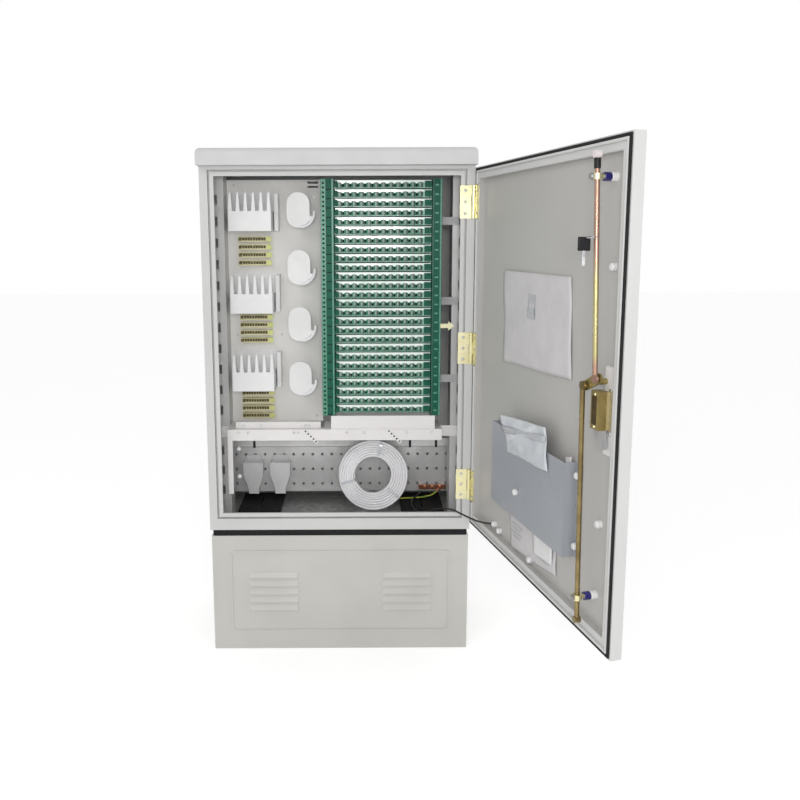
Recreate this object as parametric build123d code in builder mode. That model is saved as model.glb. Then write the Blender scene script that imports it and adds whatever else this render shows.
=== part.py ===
from build123d import *
from math import cos, pi, radians, sin, tan
import os

os.makedirs("parts", exist_ok=True)

# Fibre distribution cabinet for the roadside, in millimetres.
# X runs along the front, Y runs into the cabinet, Z is up.
# The origin is the centre of the plinth's underside.

# Driving sizes of the carcass
body_width = 738.0
body_depth = 320.0
body_height = 1015.0
sheet = 1.5
plinth_height = 344.0
plinth_inset_side = 3.0
plinth_inset_front = 3.0
plinth_sheet = 2.0
plinth_flange = 40.0
anchor_hole_radius = 7.0
anchor_edge = 22.0
seal_height = 19.0
seal_inset = 2.5
seal_width = 30.0
post_width = 22.0
sill_height = 33.0
head_height = 12.0
lip_width = 16.5
gutter_width = 7.0
gutter_depth = 12.0
frame_sheet = 1.2
lip_return = 6.0
floor_flange = 26.0
floor_sheet = 2.0

# Roof
roof_overhang_side = 1.0
roof_overhang_front = 37.0
roof_rise = 42.0
roof_skirt = 3.0
roof_sheet = 1.5
roof_corner = 14.0
roof_fit = 0.3

# Derived levels and faces of the carcass
front = -body_depth / 2
body_bottom = plinth_height + seal_height
body_top = body_bottom + body_height
half_width = body_width / 2
opening_half = half_width - post_width - lip_width
opening_bottom = body_bottom + sill_height + lip_width
opening_top = body_top - head_height - lip_width
floor_top = body_bottom + sheet + floor_sheet
ceiling = body_top - sheet
inner_back = front + body_depth - sheet
inner_half = half_width - sheet


def facing(depth):
    """Vertical plane that looks out of the cabinet, depth behind its front face."""
    return Plane.XZ.offset(-(front + depth))


# Plinth: three walls, front corner folds and a foot flange with anchor holes
plinth_half = half_width - plinth_inset_side
plinth_length = body_depth - 2 * plinth_inset_front
anchor_x = plinth_half - anchor_edge
anchor_y = plinth_length / 2 - anchor_edge
with BuildPart() as plinth_box:
    with BuildSketch(Plane.XY):
        Rectangle(2 * plinth_half, plinth_length)
    extrude(amount=plinth_height)
    with BuildSketch(Plane.XY.offset(plinth_sheet)):
        Rectangle(2 * (plinth_half - plinth_sheet), plinth_length - 2 * plinth_sheet)
    extrude(amount=plinth_height - 2 * plinth_sheet, mode=Mode.SUBTRACT)
    with BuildSketch(Plane.XY):
        Rectangle(2 * (plinth_half - plinth_flange), plinth_length - 2 * plinth_flange)
    extrude(amount=plinth_height, mode=Mode.SUBTRACT)
    with BuildSketch(facing(plinth_inset_front)):
        with Locations((0, plinth_height / 2)):
            Rectangle(2 * plinth_half, plinth_height)
    extrude(amount=-plinth_sheet, mode=Mode.SUBTRACT)
    with Locations(Plane.XY):
        with GridLocations(2 * anchor_x, 2 * anchor_y, 2, 2):
            Hole(radius=anchor_hole_radius, depth=plinth_sheet)
plinth_box.part.label = "plinth_box"
export_step(plinth_box.part, "parts/plinth_box.step")

# Plinth front: one pressed sheet with a raised field and two ranks of louvres
field_margin_side = 49.0
field_margin_height = 48.5
field_lift = 4.0
field_radius = 16.0
field_rise = 2.0
field_bead = 7.0
louvre_width = 138.0
louvre_pitch = 24.6
louvre_margin = 56.5
louvre_count = 5
louvre_rise = 7.0
louvre_height = 12.0
louvre_sheet = 1.0
field_width = 2 * (plinth_half - field_margin_side)
field_height = plinth_height - 2 * field_margin_height
field_centre_z = plinth_height / 2 + field_lift
louvre_centre_x = (field_width - louvre_width) / 2 - louvre_margin
with BuildPart() as plinth_front_panel:
    with BuildSketch(facing(plinth_inset_front)):
        with Locations((0, plinth_height / 2)):
            Rectangle(2 * plinth_half, plinth_height)
    extrude(amount=-plinth_sheet)
    with BuildSketch(facing(plinth_inset_front)):
        with Locations((0, field_centre_z)):
            RectangleRounded(field_width, field_height, field_radius)
            RectangleRounded(
                field_width - 2 * field_bead,
                field_height - 2 * field_bead,
                field_radius - field_bead,
                mode=Mode.SUBTRACT,
            )
    extrude(amount=field_rise)
    for side in (-1, 1):
        for row in range(louvre_count):
            louvre_z = field_centre_z + (row - (louvre_count - 1) / 2) * louvre_pitch
            louvre_start = side * louvre_centre_x - louvre_width / 2
            face = front + plinth_inset_front
            with BuildSketch(Plane.YZ.offset(louvre_start)):
                with BuildLine():
                    Polyline(
                        (face + plinth_sheet, louvre_z + louvre_height / 2),
                        (face, louvre_z + louvre_height / 2),
                        (face - louvre_rise, louvre_z - louvre_height / 2),
                        (face + plinth_sheet, louvre_z - louvre_height / 2),
                        close=True,
                    )
                make_face()
            extrude(amount=louvre_width)
            with BuildSketch(Plane.YZ.offset(louvre_start + louvre_sheet)):
                with BuildLine():
                    Polyline(
                        (face + plinth_sheet, louvre_z + louvre_height / 2 - 2 * louvre_sheet),
                        (face + louvre_sheet, louvre_z + louvre_height / 2 - 2 * louvre_sheet),
                        (face - louvre_rise + louvre_sheet, louvre_z - louvre_height / 2),
                        (face + plinth_sheet, louvre_z - louvre_height / 2),
                        close=True,
                    )
                make_face()
            extrude(amount=louvre_width - 2 * louvre_sheet, mode=Mode.SUBTRACT)
plinth_front_panel.part.label = "plinth_front_panel"
export_step(plinth_front_panel.part, "parts/plinth_front_panel.step")

# Black rubber: the ring between plinth and body, and the two cable entry pads
entry_inset = 121.5
entry_pad_width = 128.0
entry_pad_depth = 160.0
entry_pad_height = 6.0
entry_setback = 112.0
entry_margin = 12.0
entry_slit = 3.0
entry_centre_x = inner_half - entry_inset
entry_depth = body_depth - entry_setback
ring_half = plinth_half - seal_inset
ring_length = plinth_length - 2 * seal_inset
with BuildPart() as rubber_seals:
    with BuildSketch(Plane.XY.offset(plinth_height)):
        RectangleRounded(2 * ring_half, ring_length, seal_width / 3)
        Rectangle(
            2 * (ring_half - seal_width),
            ring_length - 2 * seal_width,
            mode=Mode.SUBTRACT,
        )
    extrude(amount=seal_height)
    with BuildSketch(Plane.XY.offset(floor_top)):
        with Locations((0, front + entry_depth)):
            with GridLocations(2 * entry_centre_x, 0, 2, 1):
                Rectangle(entry_pad_width, entry_pad_depth)
                Rectangle(entry_slit, entry_pad_depth - 4 * entry_margin, mode=Mode.SUBTRACT)
    extrude(amount=entry_pad_height)
rubber_seals.part.label = "rubber_seals"
export_step(rubber_seals.part, "parts/rubber_seals.step")

# Welded carcass: back, sides and top with the outer front frame folded in
with BuildPart() as body_shell:
    with BuildSketch(Plane.XY.offset(body_bottom)):
        Rectangle(body_width, body_depth)
    extrude(amount=body_height)
    with BuildSketch(Plane.XY.offset(body_bottom + sheet)):
        Rectangle(2 * inner_half, body_depth - 2 * sheet)
    extrude(amount=body_height - 2 * sheet, mode=Mode.SUBTRACT)
    with BuildSketch(facing(0)):
        with Locations((0, (body_bottom + sill_height + body_top - head_height) / 2)):
            Rectangle(2 * (half_width - post_width), body_height - sill_height - head_height)
    extrude(amount=-sheet, mode=Mode.SUBTRACT)
    with BuildSketch(Plane.XY.offset(body_bottom)):
        Rectangle(2 * (half_width - floor_flange), body_depth - 2 * floor_flange)
    extrude(amount=sheet, mode=Mode.SUBTRACT)
body_shell.part.label = "body_shell"
export_step(body_shell.part, "parts/body_shell.step")

# Floor sheet with a cable cut-out under each rubber pad, and its earth lug
floor_lug_x = 78.0
floor_lug_depth = 231.0
floor_lug_length = 20.0
floor_lug_width = 9.0
floor_lug_height = 7.0
with BuildPart() as floor_panel:
    with BuildSketch(Plane.XY.offset(body_bottom + sheet)):
        Rectangle(2 * inner_half, body_depth - 2 * sheet)
        with Locations((0, front + entry_depth)):
            with GridLocations(2 * entry_centre_x, 0, 2, 1):
                Rectangle(
                    entry_pad_width - 2 * entry_margin,
                    entry_pad_depth - 2 * entry_margin,
                    mode=Mode.SUBTRACT,
                )
    extrude(amount=floor_sheet)
    with BuildSketch(Plane.XY.offset(floor_top)):
        with Locations((floor_lug_x, front + floor_lug_depth)):
            Rectangle(floor_lug_length, floor_lug_width)
    extrude(amount=floor_lug_height)
floor_panel.part.label = "floor_panel"
export_step(floor_panel.part, "parts/floor_panel.step")

# Inner door frame: rain gutter, sealing lip and its return, one folded ring
ring_low = body_bottom + sill_height
ring_high = body_top - head_height
ring_centre = (ring_low + ring_high) / 2
ring_wide = 2 * (half_width - post_width)
ring_tall = ring_high - ring_low


def frame_ring(outer_inset, inner_inset):
    """Sketch the band between two insets of the door opening's outer ring."""
    with BuildSketch(mode=Mode.PRIVATE) as band:
        with Locations((0, ring_centre)):
            Rectangle(ring_wide - 2 * outer_inset, ring_tall - 2 * outer_inset)
            Rectangle(ring_wide - 2 * inner_inset, ring_tall - 2 * inner_inset, mode=Mode.SUBTRACT)
    return band.sketch


with BuildPart() as front_frame:
    with BuildSketch(facing(sheet)):
        add(frame_ring(-frame_sheet, 0))
    extrude(amount=-(gutter_depth - sheet))
    with BuildSketch(facing(gutter_depth)):
        add(frame_ring(-frame_sheet, gutter_width))
    extrude(amount=frame_sheet)
    with BuildSketch(facing(0)):
        add(frame_ring(gutter_width - frame_sheet, gutter_width))
    extrude(amount=-gutter_depth)
    with BuildSketch(facing(0)):
        add(frame_ring(gutter_width - frame_sheet, lip_width))
    extrude(amount=-frame_sheet)
    with BuildSketch(facing(0)):
        add(frame_ring(lip_width - frame_sheet, lip_width))
    extrude(amount=-lip_return)
front_frame.part.label = "front_frame"
export_step(front_frame.part, "parts/front_frame.step")

# Roof: a pressed cap whose skirt runs forward over the door
roof_half = half_width + roof_overhang_side
roof_front = front - roof_overhang_front
roof_back = front + body_depth + roof_overhang_side
roof_middle = (roof_front + roof_back) / 2
roof_length = roof_back - roof_front
roof_top = body_top + roof_rise
with BuildPart(mode=Mode.PRIVATE) as roof_void:
    with BuildSketch(Plane.XY.offset(body_top)):
        with Locations((0, roof_middle)):
            Rectangle(2 * (roof_half - roof_sheet), roof_length - 2 * roof_sheet)
    extrude(amount=roof_rise - roof_sheet)
    fillet(roof_void.edges().group_by(Axis.Z)[-1], radius=roof_corner - roof_sheet)
with BuildPart() as roof_cap:
    with BuildSketch(Plane.XY.offset(body_top - roof_skirt)):
        with Locations((0, roof_middle)):
            Rectangle(2 * roof_half, roof_length)
    extrude(amount=roof_rise + roof_skirt)
    fillet(roof_cap.edges().group_by(Axis.Z)[-1], radius=roof_corner)
    add(roof_void.part, mode=Mode.SUBTRACT)
    with BuildSketch(Plane.XY.offset(body_top - roof_skirt)):
        Rectangle(body_width + 2 * roof_fit, body_depth + 2 * roof_fit)
    extrude(amount=roof_skirt, mode=Mode.SUBTRACT)
roof_cap.part.label = "roof_cap"
export_step(roof_cap.part, "parts/roof_cap.step")

# Mounting frame: two slotted uprights from floor to ceiling, tied at the back
upright_width = 44.0
upright_depth = 60.0
upright_front = 90.0
upright_sheet = 2.0
upright_gap = 3.0
upright_slot = 8.0
upright_slot_length = 26.0
upright_slot_pitch = 60.0
upright_inner = inner_half - upright_gap - upright_width
upright_centre = inner_half - upright_gap - upright_width / 2
upright_height = ceiling - floor_top
slot_rows = int(upright_height / upright_slot_pitch) - 1
with BuildPart() as mounting_frame:
    with BuildSketch(Plane.XY.offset(floor_top)):
        with Locations((0, front + upright_front + upright_depth / 2)):
            with GridLocations(2 * upright_centre, 0, 2, 1):
                Rectangle(upright_width, upright_depth)
                Rectangle(
                    upright_width - 2 * upright_sheet,
                    upright_depth - 2 * upright_sheet,
                    mode=Mode.SUBTRACT,
                )
    extrude(amount=upright_height)
    with BuildSketch(facing(upright_front)):
        with Locations((0, (floor_top + ceiling) / 2)):
            with GridLocations(2 * upright_centre, upright_slot_pitch, 2, slot_rows):
                Rectangle(upright_slot, upright_slot_length)
    extrude(amount=-upright_sheet, mode=Mode.SUBTRACT)
mounting_frame.part.label = "mounting_frame"
export_step(mounting_frame.part, "parts/mounting_frame.step")

# Fibre side: a plate behind the left upright that carries combs, holders and bobbins
plate_depth = upright_front + upright_depth
plate_sheet = 2.0
plate_lap = 30.0
plate_left = -upright_inner - plate_lap
plate_width = 299.5
plate_rise = 277.5
plate_top_gap = 26.5
plate_slot_width = 30.0
plate_slot_height = 6.0
plate_slot_right = 23.0
plate_slot_top = 14.0
plate_right = plate_left + plate_width
plate_bottom = floor_top + plate_rise
plate_top = ceiling - plate_top_gap
plate_mid_x = (plate_left + plate_right) / 2
plate_mid_z = (plate_bottom + plate_top) / 2
plate_flange = 24.0
with BuildPart() as mounting_plate:
    with BuildSketch(facing(plate_depth)):
        with Locations((plate_mid_x, plate_mid_z)):
            Rectangle(plate_right - plate_left, plate_top - plate_bottom)
        with Locations((plate_right - plate_slot_right, plate_top - plate_slot_top)):
            with GridLocations(0, 2 * plate_slot_height, 1, 2):
                Rectangle(plate_slot_width, plate_slot_height, mode=Mode.SUBTRACT)
    extrude(amount=-plate_sheet)
    with BuildSketch(facing(plate_depth)):
        with Locations((plate_left + plate_sheet / 2, plate_mid_z)):
            Rectangle(plate_sheet, plate_top - plate_bottom)
    extrude(amount=-plate_flange)
mounting_plate.part.label = "mounting_plate"
export_step(mounting_plate.part, "parts/mounting_plate.step")

# White combs: an open trough with tapered teeth along its front wall
comb_width = 118.0
comb_inset = 46.5
comb_block = 55.0
comb_teeth_height = 50.0
comb_front = 62.0
comb_wall = 3.0
comb_teeth = 6
comb_tooth_root = 11.0
comb_tooth_tip = 5.0
comb_flange = 16.0
comb_back_height = 110.0
comb_drops = (145.0, 375.0, 598.0)
comb_left = plate_left + comb_inset
comb_bottoms = [plate_top - drop for drop in comb_drops]
comb_mid = comb_left + comb_width / 2
comb_pitch = (comb_width - comb_tooth_root) / (comb_teeth - 1)
with BuildPart() as fibre_combs:
    for bottom in comb_bottoms:
        with BuildSketch(facing(comb_front)):
            with Locations((comb_mid, bottom + comb_block / 2)):
                Rectangle(comb_width, comb_block)
        extrude(amount=-(plate_depth - comb_front))
        with BuildSketch(Plane.XY.offset(bottom + comb_wall)):
            with Locations((comb_mid, front + (comb_front + plate_depth) / 2)):
                Rectangle(comb_width - 2 * comb_wall, plate_depth - comb_front - 2 * comb_wall)
        extrude(amount=comb_block - comb_wall, mode=Mode.SUBTRACT)
        with BuildSketch(facing(comb_front)):
            for tooth in range(comb_teeth):
                tooth_x = comb_left + comb_tooth_root / 2 + tooth * comb_pitch
                with BuildLine():
                    Polyline(
                        (tooth_x - comb_tooth_root / 2, bottom + comb_block),
                        (tooth_x + comb_tooth_root / 2, bottom + comb_block),
                        (tooth_x + comb_tooth_tip / 2, bottom + comb_block + comb_teeth_height),
                        (tooth_x - comb_tooth_tip / 2, bottom + comb_block + comb_teeth_height),
                        close=True,
                    )
                make_face()
        extrude(amount=-comb_wall)
        with BuildSketch(facing(plate_depth)):
            with Locations((comb_mid + comb_flange / 2, bottom + comb_back_height / 2)):
                Rectangle(comb_width + comb_flange, comb_back_height)
        extrude(amount=comb_wall)
fibre_combs.part.label = "fibre_combs"
export_step(fibre_combs.part, "parts/fibre_combs.step")

# Yellow parking holders: four strips in each set, with pockets for idle plugs
holder_width = 92.0
holder_shift = 15.0
holder_height = 15.0
holder_depth = 16.0
holder_pitch = 22.5
holder_count = 4
holder_pockets = 8
holder_pocket = 7.0
holder_pocket_pitch = 9.5
holder_pocket_shift = -4.0
holder_pocket_drop = 5.0
holder_back_wall = 4.0
holder_drops = (160.0, 385.0, 610.0)
holder_left = comb_left + holder_shift
holder_tops = [plate_top - drop for drop in holder_drops]
holder_mid = holder_left + holder_width / 2
with BuildPart() as parking_holders:
    with BuildSketch(facing(plate_depth)):
        for top in holder_tops:
            for strip in range(holder_count):
                with Locations((holder_mid, top - holder_height / 2 - strip * holder_pitch)):
                    Rectangle(holder_width, holder_height)
    extrude(amount=holder_depth)
    with BuildSketch(facing(plate_depth - holder_depth)):
        for top in holder_tops:
            for strip in range(holder_count):
                pocket_z = top - holder_pocket_drop - strip * holder_pitch
                with Locations((holder_mid + holder_pocket_shift, pocket_z)):
                    with GridLocations(holder_pocket_pitch, 0, holder_pockets, 1):
                        Rectangle(holder_pocket, holder_pocket)
    extrude(amount=-(holder_depth - holder_back_wall), mode=Mode.SUBTRACT)
parking_holders.part.label = "parking_holders"
export_step(parking_holders.part, "parts/parking_holders.step")

# Storage bobbins: an oval cheek on an oval hub, with a hooked guard at its side
bobbin_inset = 61.0
bobbin_drops = (87.0, 247.0, 408.0, 565.0)
bobbin_width = 64.0
bobbin_height = 98.0
bobbin_front = 84.0
bobbin_cheek = 3.0
bobbin_hub_width = 40.0
bobbin_hub_height = 66.0
bobbin_guard = 14.0
bobbin_x = plate_right - bobbin_inset
bobbin_levels = [plate_top - drop for drop in bobbin_drops]
with BuildPart() as storage_bobbins:
    with BuildSketch(facing(bobbin_front)):
        for level in bobbin_levels:
            with Locations((bobbin_x, level)):
                SlotOverall(bobbin_height, bobbin_width, rotation=90)
            with Locations((bobbin_x + bobbin_width / 2, level - bobbin_height / 4)):
                Rectangle(bobbin_guard, bobbin_guard)
    extrude(amount=-bobbin_cheek)
    with BuildSketch(facing(bobbin_front + bobbin_cheek)):
        for level in bobbin_levels:
            with Locations((bobbin_x, level)):
                SlotOverall(bobbin_hub_height, bobbin_hub_width, rotation=90)
    extrude(amount=-(plate_depth - bobbin_front - bobbin_cheek))
storage_bobbins.part.label = "storage_bobbins"
export_step(storage_bobbins.part, "parts/storage_bobbins.step")

# Tray rack: two green side plates with a runner for each tray
tray_pitch = 25.2
tray_top_drop = 8.0
tray_inset_left = 41.0
tray_inset_right = 61.5
tray_back_gap = 25.0
tray_side_gap = 1.5
tray_front = 60.0
tray_floor = 1.6
tray_wall_height = 14.0
rack_sheet = 2.0
rack_front = 52.0
rack_back_gap = 35.0
rack_flange = 34.0
rack_flange_right = 24.0
rack_end_gap = 4.0
rack_slot_width = 6.0
rack_slot_height = 15.0
rack_slot_edge = 7.0
rack_bracket_drop = 115.0
rack_bracket_shift = 7.4
rack_bracket_rise = 100.2
trough_clear = 30.0
rack_bracket_height = 22.0
rack_bracket_lap = 18.0
runner_width = 5.0
runner_height = 3.0
runner_gap = 0.3
rack_back = body_depth - rack_back_gap
tray_depth = rack_back - tray_back_gap - tray_front
tray_stack_top = plate_top - tray_top_drop
tray_left = plate_right + tray_inset_left
tray_right = upright_inner - tray_inset_right
stack_room = tray_stack_top - rack_end_gap - trough_clear - plate_bottom
tray_count = int(stack_room / tray_pitch)
rack_inner_left = tray_left - tray_side_gap
rack_inner_right = tray_right + tray_side_gap
rack_top = tray_stack_top + rack_end_gap
rack_bottom = tray_stack_top - tray_count * tray_pitch - rack_end_gap
rack_mid_z = (rack_top + rack_bottom) / 2
rack_height = rack_top - rack_bottom
rack_outer_left = rack_inner_left - rack_sheet
rack_outer_right = rack_inner_right + rack_sheet
rack_mid_x = (rack_inner_left + rack_inner_right) / 2
rack_left_flange_x = rack_outer_left - rack_flange / 2
rack_right_flange_x = rack_outer_right + rack_flange_right / 2
rack_bracket_end = upright_inner + rack_bracket_lap
runner_setback = 4.0
runner_back_gap = 6.0
runner_length = tray_depth - runner_setback - runner_back_gap
rack_bracket_levels = (
    rack_top - rack_bracket_drop,
    rack_mid_z - rack_bracket_shift,
    rack_bottom + rack_bracket_rise,
)
with BuildPart() as rack_frame:
    with BuildSketch(Plane.XY.offset(rack_bottom)):
        with Locations((0, front + (rack_front + rack_back) / 2)):
            with Locations((rack_inner_left - rack_sheet / 2, 0)):
                Rectangle(rack_sheet, rack_back - rack_front)
            with Locations((rack_inner_right + rack_sheet / 2, 0)):
                Rectangle(rack_sheet, rack_back - rack_front)
        with Locations((rack_left_flange_x, front + rack_front + rack_sheet / 2)):
            Rectangle(rack_flange, rack_sheet)
        with Locations((rack_right_flange_x, front + rack_front + rack_sheet / 2)):
            Rectangle(rack_flange_right, rack_sheet)
        with Locations((rack_mid_x, front + rack_back - rack_sheet / 2)):
            Rectangle(rack_inner_right - rack_inner_left, rack_sheet)
    extrude(amount=rack_height)
    with BuildSketch(facing(tray_front + runner_setback)):
        for tray in range(tray_count):
            runner_z = tray_stack_top - (tray + 1) * tray_pitch + runner_height / 2
            with Locations((rack_inner_left + runner_width / 2, runner_z)):
                Rectangle(runner_width, runner_height)
            with Locations((rack_inner_right - runner_width / 2, runner_z)):
                Rectangle(runner_width, runner_height)
    extrude(amount=-runner_length)
    with BuildSketch(facing(rack_front)):
        with Locations((rack_outer_left - rack_flange + rack_slot_edge, rack_mid_z)):
            with GridLocations(0, tray_pitch, 1, tray_count):
                Rectangle(rack_slot_width, rack_slot_height)
    extrude(amount=-rack_sheet, mode=Mode.SUBTRACT)
    with BuildSketch(facing(upright_front - rack_sheet)):
        for level in rack_bracket_levels:
            with Locations(((rack_outer_right + rack_bracket_end) / 2, level)):
                Rectangle(rack_bracket_end - rack_outer_right, rack_bracket_height)
    extrude(amount=-rack_sheet)
rack_frame.part.label = "rack_frame"
export_step(rack_frame.part, "parts/rack_frame.step")

# Trays: a floor with side walls and a row of slanted adapters along the front
adapter_pitch = 20.3
adapter_first = 5.0
adapter_width = 9.5
adapter_height = 10.0
adapter_length = 26.0
adapter_slant = 30.0
tray_label_width = 24.0
tray_label_sheet = 2.0
adapter_offset_x = 2.0
adapter_setback = 2.0
adapter_count = int((tray_right - tray_left - tray_label_width) / adapter_pitch)
tray_label_x = tray_right - tray_label_width / 2
adapter_y = front + tray_front + adapter_length / 2 + adapter_setback
for tray in range(tray_count):
    tray_base = tray_stack_top - (tray + 1) * tray_pitch + runner_height + runner_gap
    with BuildPart() as tray_part:
        with BuildSketch(Plane.XY.offset(tray_base)):
            with Locations(((tray_left + tray_right) / 2, front + tray_front + tray_depth / 2)):
                Rectangle(tray_right - tray_left, tray_depth)
        extrude(amount=tray_floor)
        with BuildSketch(Plane.XY.offset(tray_base + tray_floor)):
            with Locations((0, front + tray_front + tray_depth / 2)):
                with Locations((tray_left + tray_floor / 2, 0), (tray_right - tray_floor / 2, 0)):
                    Rectangle(tray_floor, tray_depth)
            with Locations((tray_label_x, front + tray_front + tray_label_sheet / 2)):
                Rectangle(tray_label_width, tray_label_sheet)
        extrude(amount=tray_wall_height)
        with BuildSketch(Plane.XY.offset(tray_base + tray_floor)):
            for adapter in range(adapter_count):
                adapter_x = tray_left + adapter_first + adapter_width / 2 + adapter * adapter_pitch
                with Locations((adapter_x + adapter_offset_x, adapter_y)):
                    Rectangle(adapter_width, adapter_length, rotation=-adapter_slant)
        extrude(amount=adapter_height)
    tray_part.part.label = f"tray_{tray + 1:02d}"
    export_step(tray_part.part, f"parts/tray_{tray + 1:02d}.step")

# White cross beam with its shelf, the trough under the trays and two straps
beam_left = -upright_inner
beam_right_gap = 28.5
beam_height = 32.0
beam_top = plate_bottom
beam_bottom = beam_top - beam_height
beam_right = upright_inner - beam_right_gap
beam_front = 45.0
beam_sheet = 2.0
beam_notch_width = 43.0
beam_notch_shift = 6.0
beam_notch_front = 70.0
trough_lap_left = 14.0
trough_lap_right = 13.0
trough_front = 48.0
trough_back = 118.0
trough_height = rack_bottom - beam_top
trough_wall = 2.0
strap_width = 9.0
strap_length = 54.0
strap_sheet = 1.5
strap_left_inset = 31.0
strap_right_inset = 103.0
strap_tilt = 45.0
strap_drop = 4.0
beam_bracket_lap = 25.0
beam_bracket_reach = 12.0
drop_bracket_width = 14.0
drop_bracket_height = 160.0
drop_bracket_lap = 2.0
beam_notch_right = plate_right + beam_notch_shift
beam_notch_left = beam_notch_right - beam_notch_width
trough_left = tray_left - trough_lap_left
trough_right = tray_right + trough_lap_right
strap_places = (plate_right - strap_left_inset, tray_right - strap_right_inset)
drop_bracket_top = beam_bottom + drop_bracket_lap
beam_mid_x = (beam_left + beam_right) / 2
beam_mid_z = (beam_bottom + beam_top) / 2
notch_mid_x = (beam_notch_left + beam_notch_right) / 2
trough_mid_x = (trough_left + trough_right) / 2
trough_mid_y = front + (trough_front + trough_back) / 2
bracket_end = upright_inner + beam_bracket_lap
with BuildPart() as cross_beam:
    with BuildSketch(facing(beam_front)):
        with Locations((beam_mid_x, beam_mid_z)):
            Rectangle(beam_right - beam_left, beam_top - beam_bottom)
    extrude(amount=-beam_sheet)
    with BuildSketch(Plane.XY.offset(beam_top - beam_sheet)):
        with Locations((beam_mid_x, front + (beam_front + plate_depth) / 2)):
            Rectangle(beam_right - beam_left, plate_depth - beam_front)
        with Locations((notch_mid_x, front + (beam_notch_front + plate_depth) / 2)):
            Rectangle(
                beam_notch_right - beam_notch_left,
                plate_depth - beam_notch_front,
                mode=Mode.SUBTRACT,
            )
    extrude(amount=beam_sheet)
    with BuildSketch(facing(upright_front - beam_sheet)):
        with Locations(((beam_left + beam_bracket_reach - bracket_end) / 2, beam_mid_z)):
            Rectangle(bracket_end + beam_left + beam_bracket_reach, beam_top - beam_bottom)
        with Locations(((beam_right - beam_bracket_reach + bracket_end) / 2, beam_mid_z)):
            Rectangle(bracket_end - beam_right + beam_bracket_reach, beam_top - beam_bottom)
    extrude(amount=-beam_sheet)
    with BuildSketch(Plane.XY.offset(beam_top)):
        with Locations((trough_mid_x, trough_mid_y)):
            Rectangle(trough_right - trough_left, trough_back - trough_front)
    extrude(amount=trough_height)
    with BuildSketch(Plane.XY.offset(beam_top + trough_wall)):
        with Locations((trough_mid_x, trough_mid_y)):
            Rectangle(
                trough_right - trough_left - 2 * trough_wall,
                trough_back - trough_front - 2 * trough_wall,
            )
    extrude(amount=trough_height - trough_wall, mode=Mode.SUBTRACT)
    with BuildSketch(facing(beam_front)):
        with Locations(*[(x, beam_mid_z - strap_drop) for x in strap_places]):
            Rectangle(strap_width, strap_length, rotation=strap_tilt)
    extrude(amount=strap_sheet)
    with BuildSketch(facing(beam_front)):
        with Locations((beam_left + drop_bracket_width / 2, drop_bracket_top - drop_bracket_height / 2)):
            Rectangle(drop_bracket_width, drop_bracket_height)
    extrude(amount=-beam_sheet)
cross_beam.part.label = "cross_beam"
export_step(cross_beam.part, "parts/cross_beam.step")

# Cable fixing: a perforated plate between the side walls and a rail in front of it
fixing_setback = 70.0
fixing_sheet = 2.0
fixing_rise = 25.5
fixing_height = 144.0
fixing_flange = 22.0
fixing_hole = 4.2
fixing_pitch_x = 30.0
fixing_pitch_z = 47.6
fixing_rows = 3
rail_setback = 120.0
rail_rise = 15.0
rail_height = 25.0
rail_thick = 12.0
fixing_depth = body_depth - fixing_setback
fixing_bottom = floor_top + fixing_rise
fixing_top = fixing_bottom + fixing_height
fixing_columns = int(2 * inner_half / fixing_pitch_x) - 1
rail_depth = body_depth - rail_setback
rail_low = fixing_top + rail_rise
rail_high = rail_low + rail_height
with BuildPart() as cable_fixing_plate:
    with BuildSketch(facing(fixing_depth)):
        with Locations((0, (fixing_bottom + fixing_top) / 2)):
            Rectangle(2 * inner_half, fixing_top - fixing_bottom)
            with GridLocations(fixing_pitch_x, fixing_pitch_z, fixing_columns, fixing_rows):
                Circle(fixing_hole, mode=Mode.SUBTRACT)
    extrude(amount=-fixing_sheet)
    with BuildSketch(facing(fixing_depth)):
        with Locations((0, (fixing_bottom + fixing_top) / 2)):
            with GridLocations(2 * inner_half - fixing_sheet, 0, 2, 1):
                Rectangle(fixing_sheet, fixing_top - fixing_bottom)
    extrude(amount=-fixing_flange)
    with BuildSketch(facing(rail_depth)):
        with Locations((0, (rail_low + rail_high) / 2)):
            Rectangle(2 * inner_half, rail_high - rail_low)
    extrude(amount=-rail_thick)
cable_fixing_plate.part.label = "cable_fixing_plate"
export_step(cable_fixing_plate.part, "parts/cable_fixing_plate.step")

# Cable break-out funnels: flat hoppers that narrow to a neck at the cable
funnel_insets = (79.5, 163.5)
funnel_width = 62.0
funnel_thick = 30.0
funnel_neck_width = 28.0
funnel_neck_thick = 22.0
funnel_rise = 29.5
funnel_taper = 78.0
funnel_height = 174.0
funnel_wall = 2.0
funnel_gap = 0.3
funnel_places = [plate_left + inset for inset in funnel_insets]
funnel_bottom = floor_top + funnel_rise
funnel_top = funnel_bottom + funnel_height
funnel_y = front + rail_depth - funnel_gap - funnel_thick / 2
funnel_shoulder = funnel_bottom + funnel_taper


def funnel_body(place, wall):
    """Solid hopper inset by the wall, open for a bore when the wall is taken off."""
    with BuildPart(mode=Mode.PRIVATE) as body:
        with BuildSketch(Plane.XY.offset(funnel_bottom)):
            with Locations((place, funnel_y)):
                Rectangle(funnel_neck_width - 2 * wall, funnel_neck_thick - 2 * wall)
        with BuildSketch(Plane.XY.offset(funnel_shoulder)):
            with Locations((place, funnel_y)):
                Rectangle(funnel_width - 2 * wall, funnel_thick - 2 * wall)
        loft()
        with BuildSketch(Plane.XY.offset(funnel_shoulder)):
            with Locations((place, funnel_y)):
                Rectangle(funnel_width - 2 * wall, funnel_thick - 2 * wall)
        extrude(amount=funnel_top - funnel_shoulder)
    return body.part


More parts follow.
